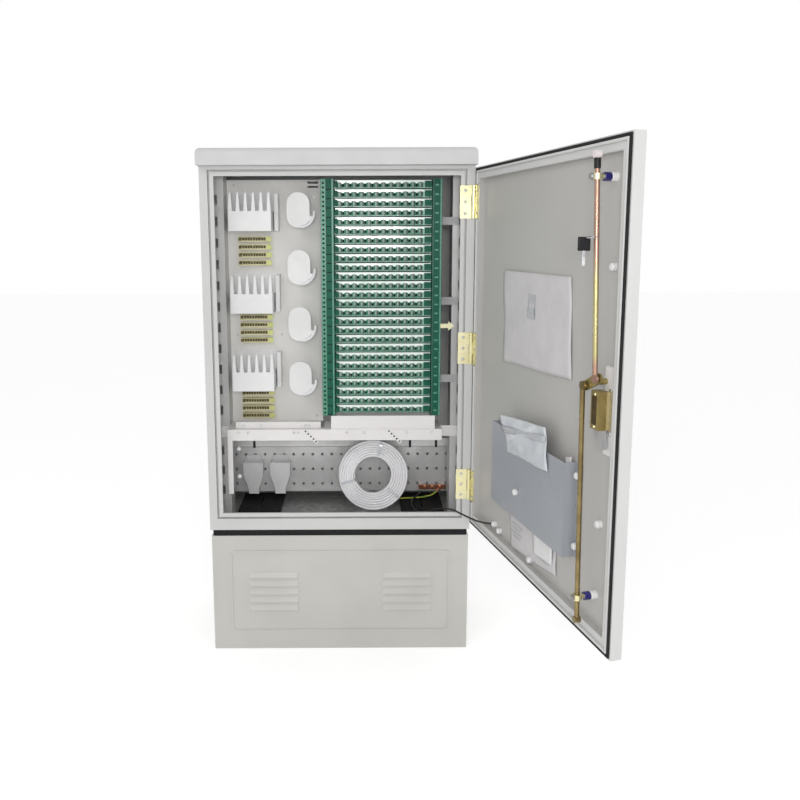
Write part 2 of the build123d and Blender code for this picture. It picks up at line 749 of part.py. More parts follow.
with BuildPart() as duct_funnels:
    for place in funnel_places:
        add(funnel_body(place, 0))
        add(funnel_body(place, funnel_wall), mode=Mode.SUBTRACT)
duct_funnels.part.label = "duct_funnels"
export_step(duct_funnels.part, "parts/duct_funnels.step")

# Earth bar: a copper bar on two stand-offs, with its bolts and two cable lugs
earth_bar_inset = 82.5
earth_bar_rise = 16.0
earth_bar_length = 86.0
earth_bar_height = 14.0
earth_bar_thick = 4.0
earth_standoff = 12.0
earth_standoff_side = 10.0
earth_bolt_radius = 6.0
earth_bolt_height = 5.0
earth_bolt_pitch = 24.0
lead_radius = 2.5
lug_wall = 0.7
lug_length = 15.0
lug_angle = 45.0
earth_bar_x = inner_half - earth_bar_inset
earth_bar_z = fixing_bottom + earth_bar_rise
earth_face = fixing_depth - earth_standoff - earth_bar_thick
lug_depth = earth_face - lead_radius - lug_wall
lug_bolts = (earth_bar_x - earth_bolt_pitch, earth_bar_x + earth_bolt_pitch)
lug_dir = (-cos(radians(lug_angle)), 0, -sin(radians(lug_angle)))
with BuildPart() as earth_bar:
    with BuildSketch(facing(fixing_depth)):
        with Locations((earth_bar_x, earth_bar_z)):
            with GridLocations(earth_bar_length - earth_bar_height, 0, 2, 1):
                Rectangle(earth_standoff_side, earth_standoff_side)
    extrude(amount=earth_standoff)
    with BuildSketch(facing(fixing_depth - earth_standoff)):
        with Locations((earth_bar_x, earth_bar_z)):
            Rectangle(earth_bar_length, earth_bar_height)
    extrude(amount=earth_bar_thick)
    for bolt_x in lug_bolts:
        with BuildSketch(Plane(origin=(bolt_x, front + lug_depth, earth_bar_z), z_dir=lug_dir)):
            Circle(lead_radius + lug_wall)
        extrude(amount=lug_length)
    with BuildSketch(facing(earth_face)):
        with Locations((earth_bar_x, earth_bar_z)):
            with GridLocations(earth_bolt_pitch, 0, 3, 1):
                RegularPolygon(radius=earth_bolt_radius, side_count=6)
    extrude(amount=earth_bolt_height + 2 * lead_radius)
earth_bar.part.label = "earth_bar"
export_step(earth_bar.part, "parts/earth_bar.step")

# Spare loose tube: one coil that stands on the floor and leans on the rail
coil_x = 98.0
coil_radius = 107.0
coil_hole = 65.0
coil_thick = 42.0
coil_chamfer = 9.0
coil_lean = 12.0
coil_gap = 0.3
lean_sin = sin(radians(coil_lean))
lean_cos = cos(radians(coil_lean))
coil_edge = coil_thick / 2 - coil_chamfer
coil_z = floor_top + coil_gap + coil_radius * lean_cos + coil_edge * lean_sin
coil_reach = (coil_radius - coil_chamfer) * lean_sin + coil_thick / 2 * lean_cos
coil_y = front + rail_depth - coil_gap - coil_reach
with BuildPart() as tube_coil:
    coil_plane = Plane(origin=(coil_x, coil_y, coil_z), x_dir=(1, 0, 0), z_dir=(0, -lean_cos, lean_sin))
    with BuildSketch(coil_plane):
        Circle(coil_radius)
        Circle(coil_hole, mode=Mode.SUBTRACT)
    extrude(amount=coil_thick / 2, both=True)
    chamfer(tube_coil.edges().filter_by(GeomType.CIRCLE), length=coil_chamfer)
tube_coil.part.label = "tube_coil"
export_step(tube_coil.part, "parts/tube_coil.step")

# Door position: the hinge line and the angle at which the door stands open
hinge_inset = 5.5
hinge_depth = -6.85
open_angle = 102.9
hinge_x = half_width - hinge_inset
hinge_y = front + hinge_depth
door_along = (-cos(radians(open_angle)), -sin(radians(open_angle)), 0)
door_outward = (sin(radians(open_angle)), -cos(radians(open_angle)), 0)
door_inward = (-door_outward[0], -door_outward[1], 0)


def door_floor(height):
    """Horizontal plane of the door: x from the hinge to the free edge, y outward."""
    return Plane(origin=(hinge_x, hinge_y, height), x_dir=door_along, z_dir=(0, 0, 1))


def door_face(offset):
    """Vertical plane offset outward from the hinge line, looking to the inside."""
    origin = (hinge_x + offset * door_outward[0], hinge_y + offset * door_outward[1], 0)
    return Plane(origin=origin, x_dir=door_along, z_dir=door_inward)


def door_side(along):
    """Vertical plane across the door: x outward, y up, looking to the free edge."""
    origin = (hinge_x + along * door_along[0], hinge_y + along * door_along[1], 0)
    return Plane(origin=origin, x_dir=door_outward, z_dir=door_along)


def door_offset(point):
    """How far a world position lies outward of the hinge line."""
    return (point.X - hinge_x) * door_outward[0] + (point.Y - hinge_y) * door_outward[1]


def door_point(along, offset, height):
    """World position of a place on the door."""
    x = hinge_x + along * door_along[0] + offset * door_outward[0]
    y = hinge_y + along * door_along[1] + offset * door_outward[1]
    return Vector(x, y, height)


# Size of the door: its edges follow the front of the body
door_start = -3.0
door_edge_gap = 1.5
door_low_gap = 22.0
door_top_gap = 9.0
door_end = hinge_x + half_width - door_edge_gap
door_width = door_end - door_start
door_bottom = body_bottom + door_low_gap
door_top = body_top - door_top_gap
door_height = door_top - door_bottom

# Hinges: three pairs of leaves, each with a pin through alternate knuckles
hinge_drop = 90.0
hinge_rise = 111.7
hinge_middle_rise = 499.0
hinge_levels = (door_top - hinge_drop, door_bottom + hinge_middle_rise, door_bottom + hinge_rise)
hinge_height = 87.0
hinge_leaf = 2.5
hinge_leaf_reach = 35.5
knuckle_radius = 5.2
knuckle_share = 29.0
knuckle_gap = 0.4
pin_radius = 2.5
pin_clearance = 0.05
door_leaf_end = 27.0
door_leaf_gap = 0.3
leaf_lap = 1.0
leaf_offset = knuckle_radius + leaf_lap
hinge_leaf_start = hinge_x - hinge_leaf_reach
with BuildPart() as frame_hinges:
    for level in hinge_levels:
        low = level - hinge_height / 2
        with BuildSketch(Plane.XY.offset(low)):
            with Locations(((hinge_leaf_start + hinge_x - leaf_offset) / 2, front - hinge_leaf / 2)):
                Rectangle(hinge_x - leaf_offset - hinge_leaf_start, hinge_leaf)
        extrude(amount=hinge_height)
        for end in (low, low + hinge_height - knuckle_share + knuckle_gap):
            with BuildSketch(Plane.XY.offset(end)):
                with Locations((hinge_x - leaf_offset / 2, front - hinge_leaf / 2)):
                    Rectangle(leaf_offset, hinge_leaf)
                with Locations((hinge_x, hinge_y)):
                    Circle(knuckle_radius)
            extrude(amount=knuckle_share - knuckle_gap)
        with BuildSketch(Plane.XY.offset(low)):
            with Locations((hinge_x, hinge_y)):
                Circle(pin_radius)
        extrude(amount=hinge_height)
frame_hinges.part.label = "frame_hinges"
export_step(frame_hinges.part, "parts/frame_hinges.step")

# Door panel: outer sheet with deep folded rim, open on the inside for the liner
door_inner = 5.5
door_thick = 24.0
door_sheet = 1.5
door_rim = 30.0
liner_recess = 14.0
liner_sheet = 1.2
liner_gap = 0.2
door_mid = door_start + door_width / 2
door_mid_z = door_bottom + door_height / 2
door_outer = door_inner + door_thick
liner_face = door_inner + liner_recess
window_width = door_width - 2 * door_rim
window_height = door_height - 2 * door_rim
spindle_edge = 73.0
spindle_rise = 551.0
spindle_radius = 6.0
spindle_hole = 7.5
spindle_along = door_end - spindle_edge
spindle_z = body_bottom + spindle_rise
with BuildPart() as door_panel:
    with BuildSketch(door_face(door_outer)):
        with Locations((door_mid, door_mid_z)):
            Rectangle(door_width, door_height)
    extrude(amount=door_thick)
    with BuildSketch(door_face(door_outer - door_sheet)):
        with Locations((door_mid, door_mid_z)):
            Rectangle(door_width - 2 * door_sheet, door_height - 2 * door_sheet)
    extrude(amount=door_thick - 2 * door_sheet, mode=Mode.SUBTRACT)
    with BuildSketch(door_face(door_inner + door_sheet)):
        with Locations((door_mid, door_mid_z)):
            Rectangle(window_width, window_height)
    extrude(amount=door_sheet, mode=Mode.SUBTRACT)
    with BuildSketch(door_face(door_outer)):
        with Locations((spindle_along, spindle_z)):
            Circle(spindle_hole)
    extrude(amount=door_sheet, mode=Mode.SUBTRACT)
door_panel.part.label = "door_panel"
export_step(door_panel.part, "parts/door_panel.step")

# Liner: a shallow tray that closes the inside of the door
with BuildPart() as door_liner:
    with BuildSketch(door_face(liner_face + liner_sheet)):
        with Locations((door_mid, door_mid_z)):
            Rectangle(window_width - 2 * liner_gap, window_height - 2 * liner_gap)
    extrude(amount=liner_recess + liner_sheet)
    with BuildSketch(door_face(liner_face)):
        with Locations((door_mid, door_mid_z)):
            Rectangle(
                window_width - 2 * liner_gap - 2 * liner_sheet,
                window_height - 2 * liner_gap - 2 * liner_sheet,
            )
    extrude(amount=liner_recess, mode=Mode.SUBTRACT)
    with BuildSketch(door_face(liner_face + liner_sheet)):
        with Locations((spindle_along, spindle_z)):
            Circle(spindle_hole)
    extrude(amount=liner_sheet, mode=Mode.SUBTRACT)
door_liner.part.label = "door_liner"
export_step(door_liner.part, "parts/door_liner.step")

# Door gasket: a ring on the rim, thinned where it crosses the hinge leaves
gasket_thick = 12.0
gasket_width = 14.0
gasket_inset = 3.0
gasket_start = 8.0
gasket_notch_extra = 4.0
gasket_end = door_end - gasket_inset
gasket_low = door_bottom + gasket_inset
gasket_high = door_top - gasket_inset
gasket_mid = (gasket_start + gasket_end) / 2
gasket_wide = gasket_end - gasket_start
gasket_tall = gasket_high - gasket_low
gasket_notch = hinge_height + gasket_notch_extra
gasket_hinges = [(gasket_start + gasket_width / 2, level) for level in hinge_levels]
with BuildPart() as door_gasket:
    with BuildSketch(door_face(door_inner)):
        with Locations((gasket_mid, door_mid_z)):
            Rectangle(gasket_wide, gasket_tall)
            Rectangle(
                gasket_wide - 2 * gasket_width,
                gasket_tall - 2 * gasket_width,
                mode=Mode.SUBTRACT,
            )
    extrude(amount=gasket_thick)
    with BuildSketch(door_face(door_inner)):
        with Locations(*gasket_hinges):
            Rectangle(gasket_width, gasket_notch)
    extrude(amount=hinge_leaf + door_leaf_gap, mode=Mode.SUBTRACT)
    with BuildSketch(door_face(door_inner - gasket_thick)):
        with Locations(*gasket_hinges):
            Rectangle(gasket_width, gasket_notch)
    extrude(amount=-hinge_leaf, mode=Mode.SUBTRACT)
door_gasket.part.label = "door_gasket"
export_step(door_gasket.part, "parts/door_gasket.step")

# Door hinge leaves with the middle knuckles that turn on the pins
with BuildPart() as door_hinges:
    for level in hinge_levels:
        low = level - hinge_height / 2
        middle_low = low + knuckle_share
        middle_height = hinge_height - 2 * knuckle_share
        with BuildSketch(door_floor(middle_low)):
            Circle(knuckle_radius)
            with Locations((leaf_offset / 2, door_inner - hinge_leaf / 2)):
                Rectangle(leaf_offset, hinge_leaf)
            Circle(pin_radius + pin_clearance, mode=Mode.SUBTRACT)
        extrude(amount=middle_height)
        with BuildSketch(door_floor(low)):
            with Locations(((leaf_offset + door_leaf_end) / 2, door_inner - hinge_leaf / 2)):
                Rectangle(door_leaf_end - leaf_offset, hinge_leaf)
        extrude(amount=hinge_height)
door_hinges.part.label = "door_hinges"
export_step(door_hinges.part, "parts/door_hinges.step")

# Lock box: the inner housing with its side flange, and the outer escutcheon
lock_box_back = 13.0
lock_box_width = 28.0
lock_box_drop = 18.0
lock_box_height = 74.0
lock_box_rise = 24.0
lock_flange_height = 84.0
lock_flange_width = 14.0
lock_flange_shift = 6.0
lock_flange_sheet = 3.0
lock_plate_back = 6.0
lock_plate_wide = 45.0
lock_plate_rise = 30.0
lock_plate_tall = 168.0
lock_plate_sheet = 2.0
lock_tongue_length = 36.0
lock_tongue_rise = 6.0
lock_tongue_thick = 12.0
lock_tongue_shift = 6.0
lock_corner = 6.0
escutcheon_corner = 8.0
lock_bush_radius = 11.0
escutcheon_width = 40.0
escutcheon_height = 185.0
escutcheon_rise = 31.0
escutcheon_thick = 6.0
lock_box_start = spindle_along - lock_box_back
lock_box_end = lock_box_start + lock_box_width
lock_box_high = spindle_z - lock_box_drop
lock_box_low = lock_box_high - lock_box_height
lock_tongue_low = lock_box_low - lock_tongue_length
lock_plate_mid = spindle_along - lock_plate_back + lock_plate_wide / 2
lock_plate_mid_z = spindle_z + lock_plate_rise - lock_plate_tall / 2
escutcheon_mid_z = spindle_z + escutcheon_rise - escutcheon_height / 2
lock_box_mid_z = (lock_box_low + lock_box_high) / 2
with BuildPart() as lock_box:
    with BuildSketch(door_face(liner_face)):
        with Locations((lock_plate_mid, lock_plate_mid_z)):
            RectangleRounded(lock_plate_wide, lock_plate_tall, lock_corner)
        with Locations((spindle_along, spindle_z)):
            Circle(lock_bush_radius)
            Circle(spindle_hole, mode=Mode.SUBTRACT)
    extrude(amount=lock_plate_sheet)
    with BuildSketch(door_face(liner_face - lock_plate_sheet)):
        with Locations(((lock_box_start + lock_box_end) / 2, lock_box_mid_z)):
            Rectangle(lock_box_end - lock_box_start, lock_box_high - lock_box_low)
    extrude(amount=lock_box_rise)
    with BuildSketch(door_face(liner_face - lock_plate_sheet)):
        with Locations((lock_box_end + lock_flange_shift, lock_box_mid_z)):
            Rectangle(lock_flange_width, lock_flange_height)
    extrude(amount=lock_flange_sheet)
    with BuildSketch(door_face(liner_face - lock_plate_sheet - lock_tongue_rise)):
        with BuildLine():
            Polyline(
                (lock_box_start, lock_box_low),
                (lock_box_end, lock_box_low),
                (lock_box_end + lock_tongue_shift, lock_tongue_low),
                (lock_box_end - lock_tongue_shift, lock_tongue_low),
                close=True,
            )
        make_face()
    extrude(amount=lock_tongue_thick)
    with BuildSketch(door_face(door_outer)):
        with Locations((spindle_along, escutcheon_mid_z)):
            RectangleRounded(escutcheon_width, escutcheon_height, escutcheon_corner)
        with Locations((spindle_along, spindle_z)):
            Circle(spindle_hole, mode=Mode.SUBTRACT)
    extrude(amount=-escutcheon_thick)
lock_box.part.label = "lock_box"
export_step(lock_box.part, "parts/lock_box.step")

# Lock cam: the spindle through the door, the cam plate and its two crank pins
cam_tilt = 26.0
cam_reach = 24.0
cam_width = 20.0
cam_thick = 4.0
cam_level = 30.0
cam_pin_radius = 3.5
crank_gap = 0.4
rod_level = 40.0
rod_radius = 5.0
rod_eye_thick = 5.0
handle_gap = 0.5
hub_radius = 12.0
hub_thick = 16.0
handle_pin_radius = 3.0
handle_width = 32.0
cam_dx = cam_reach * cos(radians(cam_tilt))
cam_dz = cam_reach * sin(radians(cam_tilt))
hub_base = door_outer + escutcheon_thick + handle_gap
handle_pivot = hub_base + hub_thick / 2
with BuildPart() as lock_cam:
    with BuildSketch(door_face(hub_base)):
        with Locations((spindle_along, spindle_z)):
            Circle(spindle_radius)
    extrude(amount=hub_base - liner_face + cam_level)
    with BuildSketch(door_face(liner_face - cam_level)):
        with Locations((spindle_along, spindle_z)):
            SlotCenterToCenter(2 * cam_reach, cam_width, rotation=cam_tilt)
    extrude(amount=cam_thick)
    with BuildSketch(door_face(liner_face - cam_level - cam_thick)):
        with Locations(
            (spindle_along + cam_dx, spindle_z + cam_dz),
            (spindle_along - cam_dx, spindle_z - cam_dz),
        ):
            Circle(cam_pin_radius)
    extrude(amount=rod_level - rod_eye_thick / 2 - cam_level - cam_thick - crank_gap)
    with BuildSketch(door_face(hub_base)):
        with Locations((spindle_along, spindle_z)):
            Rectangle(2 * hub_radius, 2 * hub_radius)
    extrude(amount=-hub_thick)
    with BuildSketch(door_side(spindle_along)):
        with Locations((handle_pivot, spindle_z)):
            Circle(handle_pin_radius)
    extrude(amount=handle_width / 2, both=True)
lock_cam.part.label = "lock_cam"
export_step(lock_cam.part, "parts/lock_cam.step")

# Swing handle: a lever that straddles the hub and lifts out on its cross pin
handle_thick = 14.0
handle_length = 129.0
handle_slot_gap = 0.6
handle_slot_depth = 24.0
handle_low = spindle_z - handle_length
with BuildPart() as swing_handle:
    with BuildSketch(door_side(spindle_along)):
        with Locations((handle_pivot, (handle_low + spindle_z) / 2)):
            SlotCenterToCenter(spindle_z - handle_low, handle_thick, rotation=90)
        with Locations((handle_pivot, spindle_z)):
            Circle(handle_pin_radius + pin_clearance, mode=Mode.SUBTRACT)
    extrude(amount=handle_width / 2, both=True)
    with BuildSketch(door_face(hub_base)):
        with Locations((spindle_along, spindle_z)):
            Rectangle(2 * (hub_radius + handle_slot_gap), 2 * handle_slot_depth)
    extrude(amount=-(hub_thick + handle_slot_gap), mode=Mode.SUBTRACT)
swing_handle.part.label = "swing_handle"
export_step(swing_handle.part, "parts/swing_handle.step")

# Locking rods: each a round bar with a flat eye at the cam and a nylon end roller
rod_upper_drop = 27.0
rod_upper_shift = 1.0
rod_lower_rise = 39.0
rod_lower_shift = 10.0
rod_eye_radius = 9.0
rod_roller_radius = 7.0
rod_roller_width = 12.0
rod_start_gap = 7.0
rod_offset = liner_face - rod_level
rod_upper_end = door_top - rod_upper_drop
rod_upper_along = spindle_along - rod_upper_shift
rod_lower_end = door_bottom + rod_lower_rise
rod_lower_along = spindle_along - rod_lower_shift


def rod_line(sign, end_along, end_z):
    """Start, end and direction of a locking rod; sign picks the crank pin."""
    start = door_point(spindle_along + sign * cam_dx, rod_offset, spindle_z + sign * cam_dz)
    end = door_point(end_along, rod_offset, end_z)
    return start, end, (end - start).normalized()


upper_start, upper_end, upper_dir = rod_line(1, rod_upper_along, rod_upper_end)
lower_start, lower_end, lower_dir = rod_line(-1, rod_lower_along, rod_lower_end)


def locking_rod(sign, start, end, direction):
    """One locking rod with its eye; the eye lies just clear of the crank pin."""
    across = Plane(origin=start + direction * rod_start_gap, z_dir=direction)
    eye_centre = (spindle_along + sign * cam_dx, spindle_z + sign * cam_dz)
    with BuildPart(mode=Mode.PRIVATE) as rod:
        with BuildSketch(across):
            Circle(rod_radius)
        extrude(amount=(end - start).length - rod_start_gap - rod_roller_radius)
        with BuildSketch(door_face(rod_offset + rod_eye_thick / 2)):
            with Locations(eye_centre):
                Circle(rod_eye_radius)
        extrude(amount=rod_eye_thick)
        roller_centre = end - direction * rod_roller_radius
        with BuildSketch(Plane(origin=roller_centre, z_dir=door_inward)):
            Circle(rod_roller_radius)
        extrude(amount=rod_roller_width / 2, both=True)
    return rod.part


with BuildPart() as upper_rod:
    add(locking_rod(1, upper_start, upper_end, upper_dir))
upper_rod.part.label = "upper_rod"
export_step(upper_rod.part, "parts/upper_rod.step")

with BuildPart() as lower_rod:
    add(locking_rod(-1, lower_start, lower_end, lower_dir))
lower_rod.part.label = "lower_rod"
export_step(lower_rod.part, "parts/lower_rod.step")

# Rod guides: nylon foot, collar and a ring that the rod slides through
guide_drop = 47.0
guide_rise = 54.0
guide_foot_radius = 8.0
guide_foot_height = 15.0
guide_collar_radius = 6.5
guide_ring_radius = 9.0
guide_ring_height = 11.0
guide_clearance = 0.4
guide_overlap = 3.0
with BuildPart() as rod_guides:
    for line_start, line_dir, guide_z in (
        (upper_start, upper_dir, rod_upper_end - guide_drop),
        (lower_start, lower_dir, rod_lower_end + guide_rise),
    ):
        centre = line_start + line_dir * ((guide_z - line_start.Z) / line_dir.Z)
        foot = centre + Vector(*door_outward) * rod_level
        with BuildSketch(Plane(origin=foot, z_dir=door_inward)):
            Circle(guide_foot_radius)
        extrude(amount=guide_foot_height)
        with BuildSketch(Plane(origin=foot, z_dir=door_inward)):
            Circle(guide_collar_radius)
        extrude(amount=rod_level - guide_ring_radius + guide_overlap)
        with BuildSketch(Plane(origin=centre, z_dir=line_dir)):
            Circle(guide_ring_radius)
        extrude(amount=guide_ring_height / 2, both=True)
        with BuildSketch(Plane(origin=centre, z_dir=line_dir)):
            Circle(rod_radius + guide_clearance)
        extrude(amount=2 * guide_ring_height, both=True, mode=Mode.SUBTRACT)
rod_guides.part.label = "rod_guides"
export_step(rod_guides.part, "parts/rod_guides.step")

# Document pocket: a folded sheet tray that opens upward
pocket_start = 180.0
pocket_clear = 102.0
pocket_lift = 135.0
pocket_height = 205.0
pocket_rise = 28.0
pocket_sheet = 1.2
pocket_flange = 27.0
pocket_end = spindle_along - pocket_clear
pocket_low = door_bottom + pocket_lift
pocket_high = pocket_low + pocket_height
pocket_mid = (pocket_start + pocket_end) / 2
pocket_mid_z = (pocket_low + pocket_high) / 2
with BuildPart() as document_pocket:
    with BuildSketch(door_face(liner_face)):
        with Locations((pocket_mid, pocket_mid_z)):
            Rectangle(pocket_end - pocket_start, pocket_high - pocket_low)
    extrude(amount=pocket_rise)
    with BuildSketch(door_face(liner_face)):
        with Locations((pocket_mid, pocket_mid_z + pocket_sheet)):
            Rectangle(pocket_end - pocket_start - 2 * pocket_sheet, pocket_high - pocket_low)
    extrude(amount=pocket_rise - pocket_sheet, mode=Mode.SUBTRACT)
    with BuildSketch(door_face(liner_face)):
        with Locations(
            (pocket_start - pocket_flange / 2, pocket_mid_z),
            (pocket_end + pocket_flange / 2, pocket_mid_z),
        ):
            Rectangle(pocket_flange + pocket_sheet, pocket_high - pocket_low)
    extrude(amount=pocket_sheet)
document_pocket.part.label = "document_pocket"
export_step(document_pocket.part, "parts/document_pocket.step")

# White dome nuts on the door studs, one group of equal solids
nut_radius = 7.5
nut_height = 11.0
nut_dome = 2.5
nut_side_left = 15.0
nut_side_right = 14.0
nut_places = (
    (150.0, door_bottom + 51.0, 0.0),
    (183.0, door_bottom + 45.0, 0.0),
    (362.0, door_bottom + 43.0, 0.0),
    (spindle_along + 10.0, spindle_z + 217.0, 0.0),
    (spindle_along - 3.0, spindle_z - 286.0, 0.0),
    (pocket_start - nut_side_left, pocket_low + 130.0, pocket_sheet),
    (pocket_start - nut_side_left, pocket_low + 20.0, pocket_sheet),
    (pocket_end + nut_side_right, pocket_low + 180.0, pocket_sheet),
    (pocket_end + nut_side_right, pocket_low + 28.0, pocket_sheet),
    (pocket_start + 154.0, pocket_low + 68.0, pocket_rise),
)
with BuildPart() as door_nuts:
    for along, height, rise in nut_places:
        with BuildSketch(door_face(liner_face - rise)):
            with Locations((along, height)):
                Circle(nut_radius)
        extrude(amount=nut_height)
    rims = door_nuts.edges().filter_by(GeomType.CIRCLE)
    crown = liner_face - nut_height + nut_dome
    chamfer([rim for rim in rims if door_offset(rim.arc_center) < crown], length=nut_dome)
door_nuts.part.label = "door_nuts"
export_step(door_nuts.part, "parts/door_nuts.step")

# Key on its ring, hung round the upper rod
key_ring_radius = 15.0
key_ring_wire = 1.2
key_ring_drop = 156.0
key_offset = 8.0
key_head_width = 22.0
key_head_height = 26.0
key_head_thick = 5.0
key_blade_width = 6.0
key_blade_length = 32.0
key_hole = 3.2
key_top = 6.0
key_slack = 0.3
key_corner = 4.0
key_blade_thick = 2.0
key_ring_z = rod_upper_end - key_ring_drop
key_share = (key_ring_z - upper_start.Z) / (upper_end.Z - upper_start.Z)
key_rod_along = spindle_along + cam_dx + key_share * (rod_upper_along - spindle_along - cam_dx)
key_ring_along = key_rod_along - key_offset
key_along = key_ring_along - key_ring_radius
key_hole_z = key_ring_z - (key_hole - key_ring_wire - key_slack)
with BuildPart() as key:
    ring_centre_point = door_point(key_ring_along, rod_offset, key_ring_z)
    ring_section = Plane(origin=ring_centre_point, x_dir=door_along, z_dir=door_inward)
    with BuildSketch(ring_section):
        with Locations((key_ring_radius, 0)):
            Circle(key_ring_wire)
    revolve(axis=Axis(ring_centre_point, (0, 0, 1)))
    with BuildSketch(door_face(rod_offset + key_head_thick / 2)):
        with Locations((key_along, key_hole_z + key_top - key_head_height / 2)):
            RectangleRounded(key_head_width, key_head_height, key_corner)
        with Locations((key_along, key_hole_z)):
            Circle(key_hole, mode=Mode.SUBTRACT)
    extrude(amount=key_head_thick)
    with BuildSketch(door_face(rod_offset + key_blade_thick / 2)):
        with Locations((key_along, key_hole_z + key_top - key_head_height - key_blade_length / 2)):
            Rectangle(key_blade_width, key_blade_length)
    extrude(amount=key_blade_thick)
key.part.label = "key"
export_step(key.part, "parts/key.step")

# Earth leads: the inner one joins bar and floor, the other runs over the sill to the door
lug_tip = lug_length * cos(radians(lug_angle))
inner_lead_points = (
    (lug_bolts[1] - lug_tip, front + lug_depth, earth_bar_z - lug_tip),
    (lug_bolts[1] - lug_tip - 12.0, front + lug_depth, earth_bar_z - lug_tip - 12.0),
    (262.0, front + 229.0, floor_top + 12.0),
    (231.0, front + 226.0, floor_top + 10.5),
    (192.0, front + 221.0, floor_top + 10.0),
    (158.0, front + 224.0, floor_top + 5.5),
    (124.0, front + 231.0, floor_top + 4.0),
    (floor_lug_x + floor_lug_length / 2, front + floor_lug_depth, floor_top + floor_lug_height / 2),
)
door_lead_points = (
    (lug_bolts[0] - lug_tip, front + lug_depth, earth_bar_z - lug_tip),
    (lug_bolts[0] - lug_tip - 11.0, front + lug_depth, earth_bar_z - lug_tip - 11.0),
    (224.0, front + 212.0, floor_top + 12.0),
    (216.0, front + 182.0, floor_top + 10.0),
    (215.0, front + 146.0, floor_top + 10.5),
    (224.0, front + 108.0, floor_top + 8.0),
    (243.0, front + 74.0, floor_top + 19.0),
    (270.0, front + 45.0, floor_top + 37.0),
    (296.0, front + 18.0, floor_top + 52.0),
    (319.0, front - 9.0, floor_top + 57.5),
    (340.0, front - 38.0, floor_top + 56.0),
    (361.0, front - 71.0, floor_top + 55.0),
    (380.0, front - 101.0, floor_top + 57.0),
    (396.0, front - 125.0, floor_top + 62.0),
    (406.4, front - 140.6, floor_top + 67.5),
)


def lead(name, points, radius):
    """Round lead along straight runs joined by tangent arcs."""
    runs = [Vector(*end) - Vector(*start) for start, end in zip(points[:-1], points[1:])]
    bends = []
    for first, second in zip(runs[:-1], runs[1:]):
        half_turn = radians(first.get_angle(second)) / 2
        bends.append(0.45 * min(first.length, second.length) / tan(half_turn))
    with BuildPart(mode=Mode.PRIVATE) as wire:
        with BuildLine() as route:
            FilletPolyline(*points, radius=bends)
        with BuildSketch(Plane(origin=points[0], z_dir=runs[0])):
            Circle(radius)
        sweep()
    length = sum(edge.length for edge in route.edges())
    share = wire.part.volume / (pi * radius**2 * length)
    print(name, "length", round(length, 1), "volume share", round(share, 4))
    print(name, "radii", [round(bend, 1) for bend in bends])
    return wire.part


with BuildPart() as inner_earth_lead:
    add(lead("inner lead", inner_lead_points, lead_radius))
inner_earth_lead.part.label = "inner_earth_lead"
export_step(inner_earth_lead.part, "parts/inner_earth_lead.step")

with BuildPart() as door_earth_lead:
    add(lead("door lead", door_lead_points, lead_radius))
door_earth_lead.part.label = "door_earth_lead"
export_step(door_earth_lead.part, "parts/door_earth_lead.step")
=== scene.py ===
from math import cos, pi, radians, sin

import bmesh
import bpy
from mathutils import Matrix, Vector


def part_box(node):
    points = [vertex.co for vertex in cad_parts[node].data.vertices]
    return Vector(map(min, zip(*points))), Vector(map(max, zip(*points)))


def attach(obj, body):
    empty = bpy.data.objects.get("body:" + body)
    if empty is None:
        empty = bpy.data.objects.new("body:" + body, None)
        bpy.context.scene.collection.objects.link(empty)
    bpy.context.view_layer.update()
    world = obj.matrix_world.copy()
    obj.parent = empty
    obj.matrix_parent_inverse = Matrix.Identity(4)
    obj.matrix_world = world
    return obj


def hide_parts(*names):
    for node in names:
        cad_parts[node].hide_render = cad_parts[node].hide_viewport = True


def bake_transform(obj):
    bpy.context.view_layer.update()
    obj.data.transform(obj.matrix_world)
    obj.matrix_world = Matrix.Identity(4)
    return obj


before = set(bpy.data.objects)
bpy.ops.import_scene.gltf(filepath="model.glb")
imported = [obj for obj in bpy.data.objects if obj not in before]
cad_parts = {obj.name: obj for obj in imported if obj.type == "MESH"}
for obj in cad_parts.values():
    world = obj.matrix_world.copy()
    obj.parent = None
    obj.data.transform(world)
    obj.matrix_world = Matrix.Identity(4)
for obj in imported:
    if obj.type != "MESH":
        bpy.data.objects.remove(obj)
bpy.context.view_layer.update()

# Places shared with the CAD model, in metres
front = -0.160
tray_nodes = [f"tray_{number:02d}" for number in range(1, 27)]
plate_face = front + 0.150
hinge_place = Vector((0.3635, -0.16685, 0.0))
open_angle = radians(102.9)
door_along = Vector((-cos(open_angle), -sin(open_angle), 0.0))
door_outward = Vector((sin(open_angle), -cos(open_angle), 0.0))
liner_offset = 0.0195
hinge_levels = (0.4967, 0.884, 1.279)
hinge_screw_offsets = (-0.030, 0.0, 0.030)

# Photograph's camera
camera_place = (0.0552, -2.2198, 1.1872)
camera_angles = (81.825, 0.214, -0.107)
camera_lens = 34.06
camera_sensor = 36.0
camera_shift = (0.0506, -0.0677)

# Light and floor
world_light = 0.66
backdrop_light = 1.0
floor_size = 14.0
floor_tone = 0.93
floor_roughness = 0.85
floor_glow = 0.33


def to_door():
    """Matrix from door places (along the door, outward from the liner, up) to the world."""
    rows = Matrix((door_along, door_outward, (0, 0, 1))).transposed().to_4x4()
    return Matrix.Translation(hinge_place + door_outward * liner_offset) @ rows


door_matrix = to_door()


# Node helpers for materials and the world
def coordinates(tree):
    return tree.nodes.new("ShaderNodeTexCoord").outputs["Object"]


def height_of(tree, vector):
    split = tree.nodes.new("ShaderNodeSeparateXYZ")
    tree.links.new(vector, split.inputs["Vector"])
    return split.outputs["Z"]


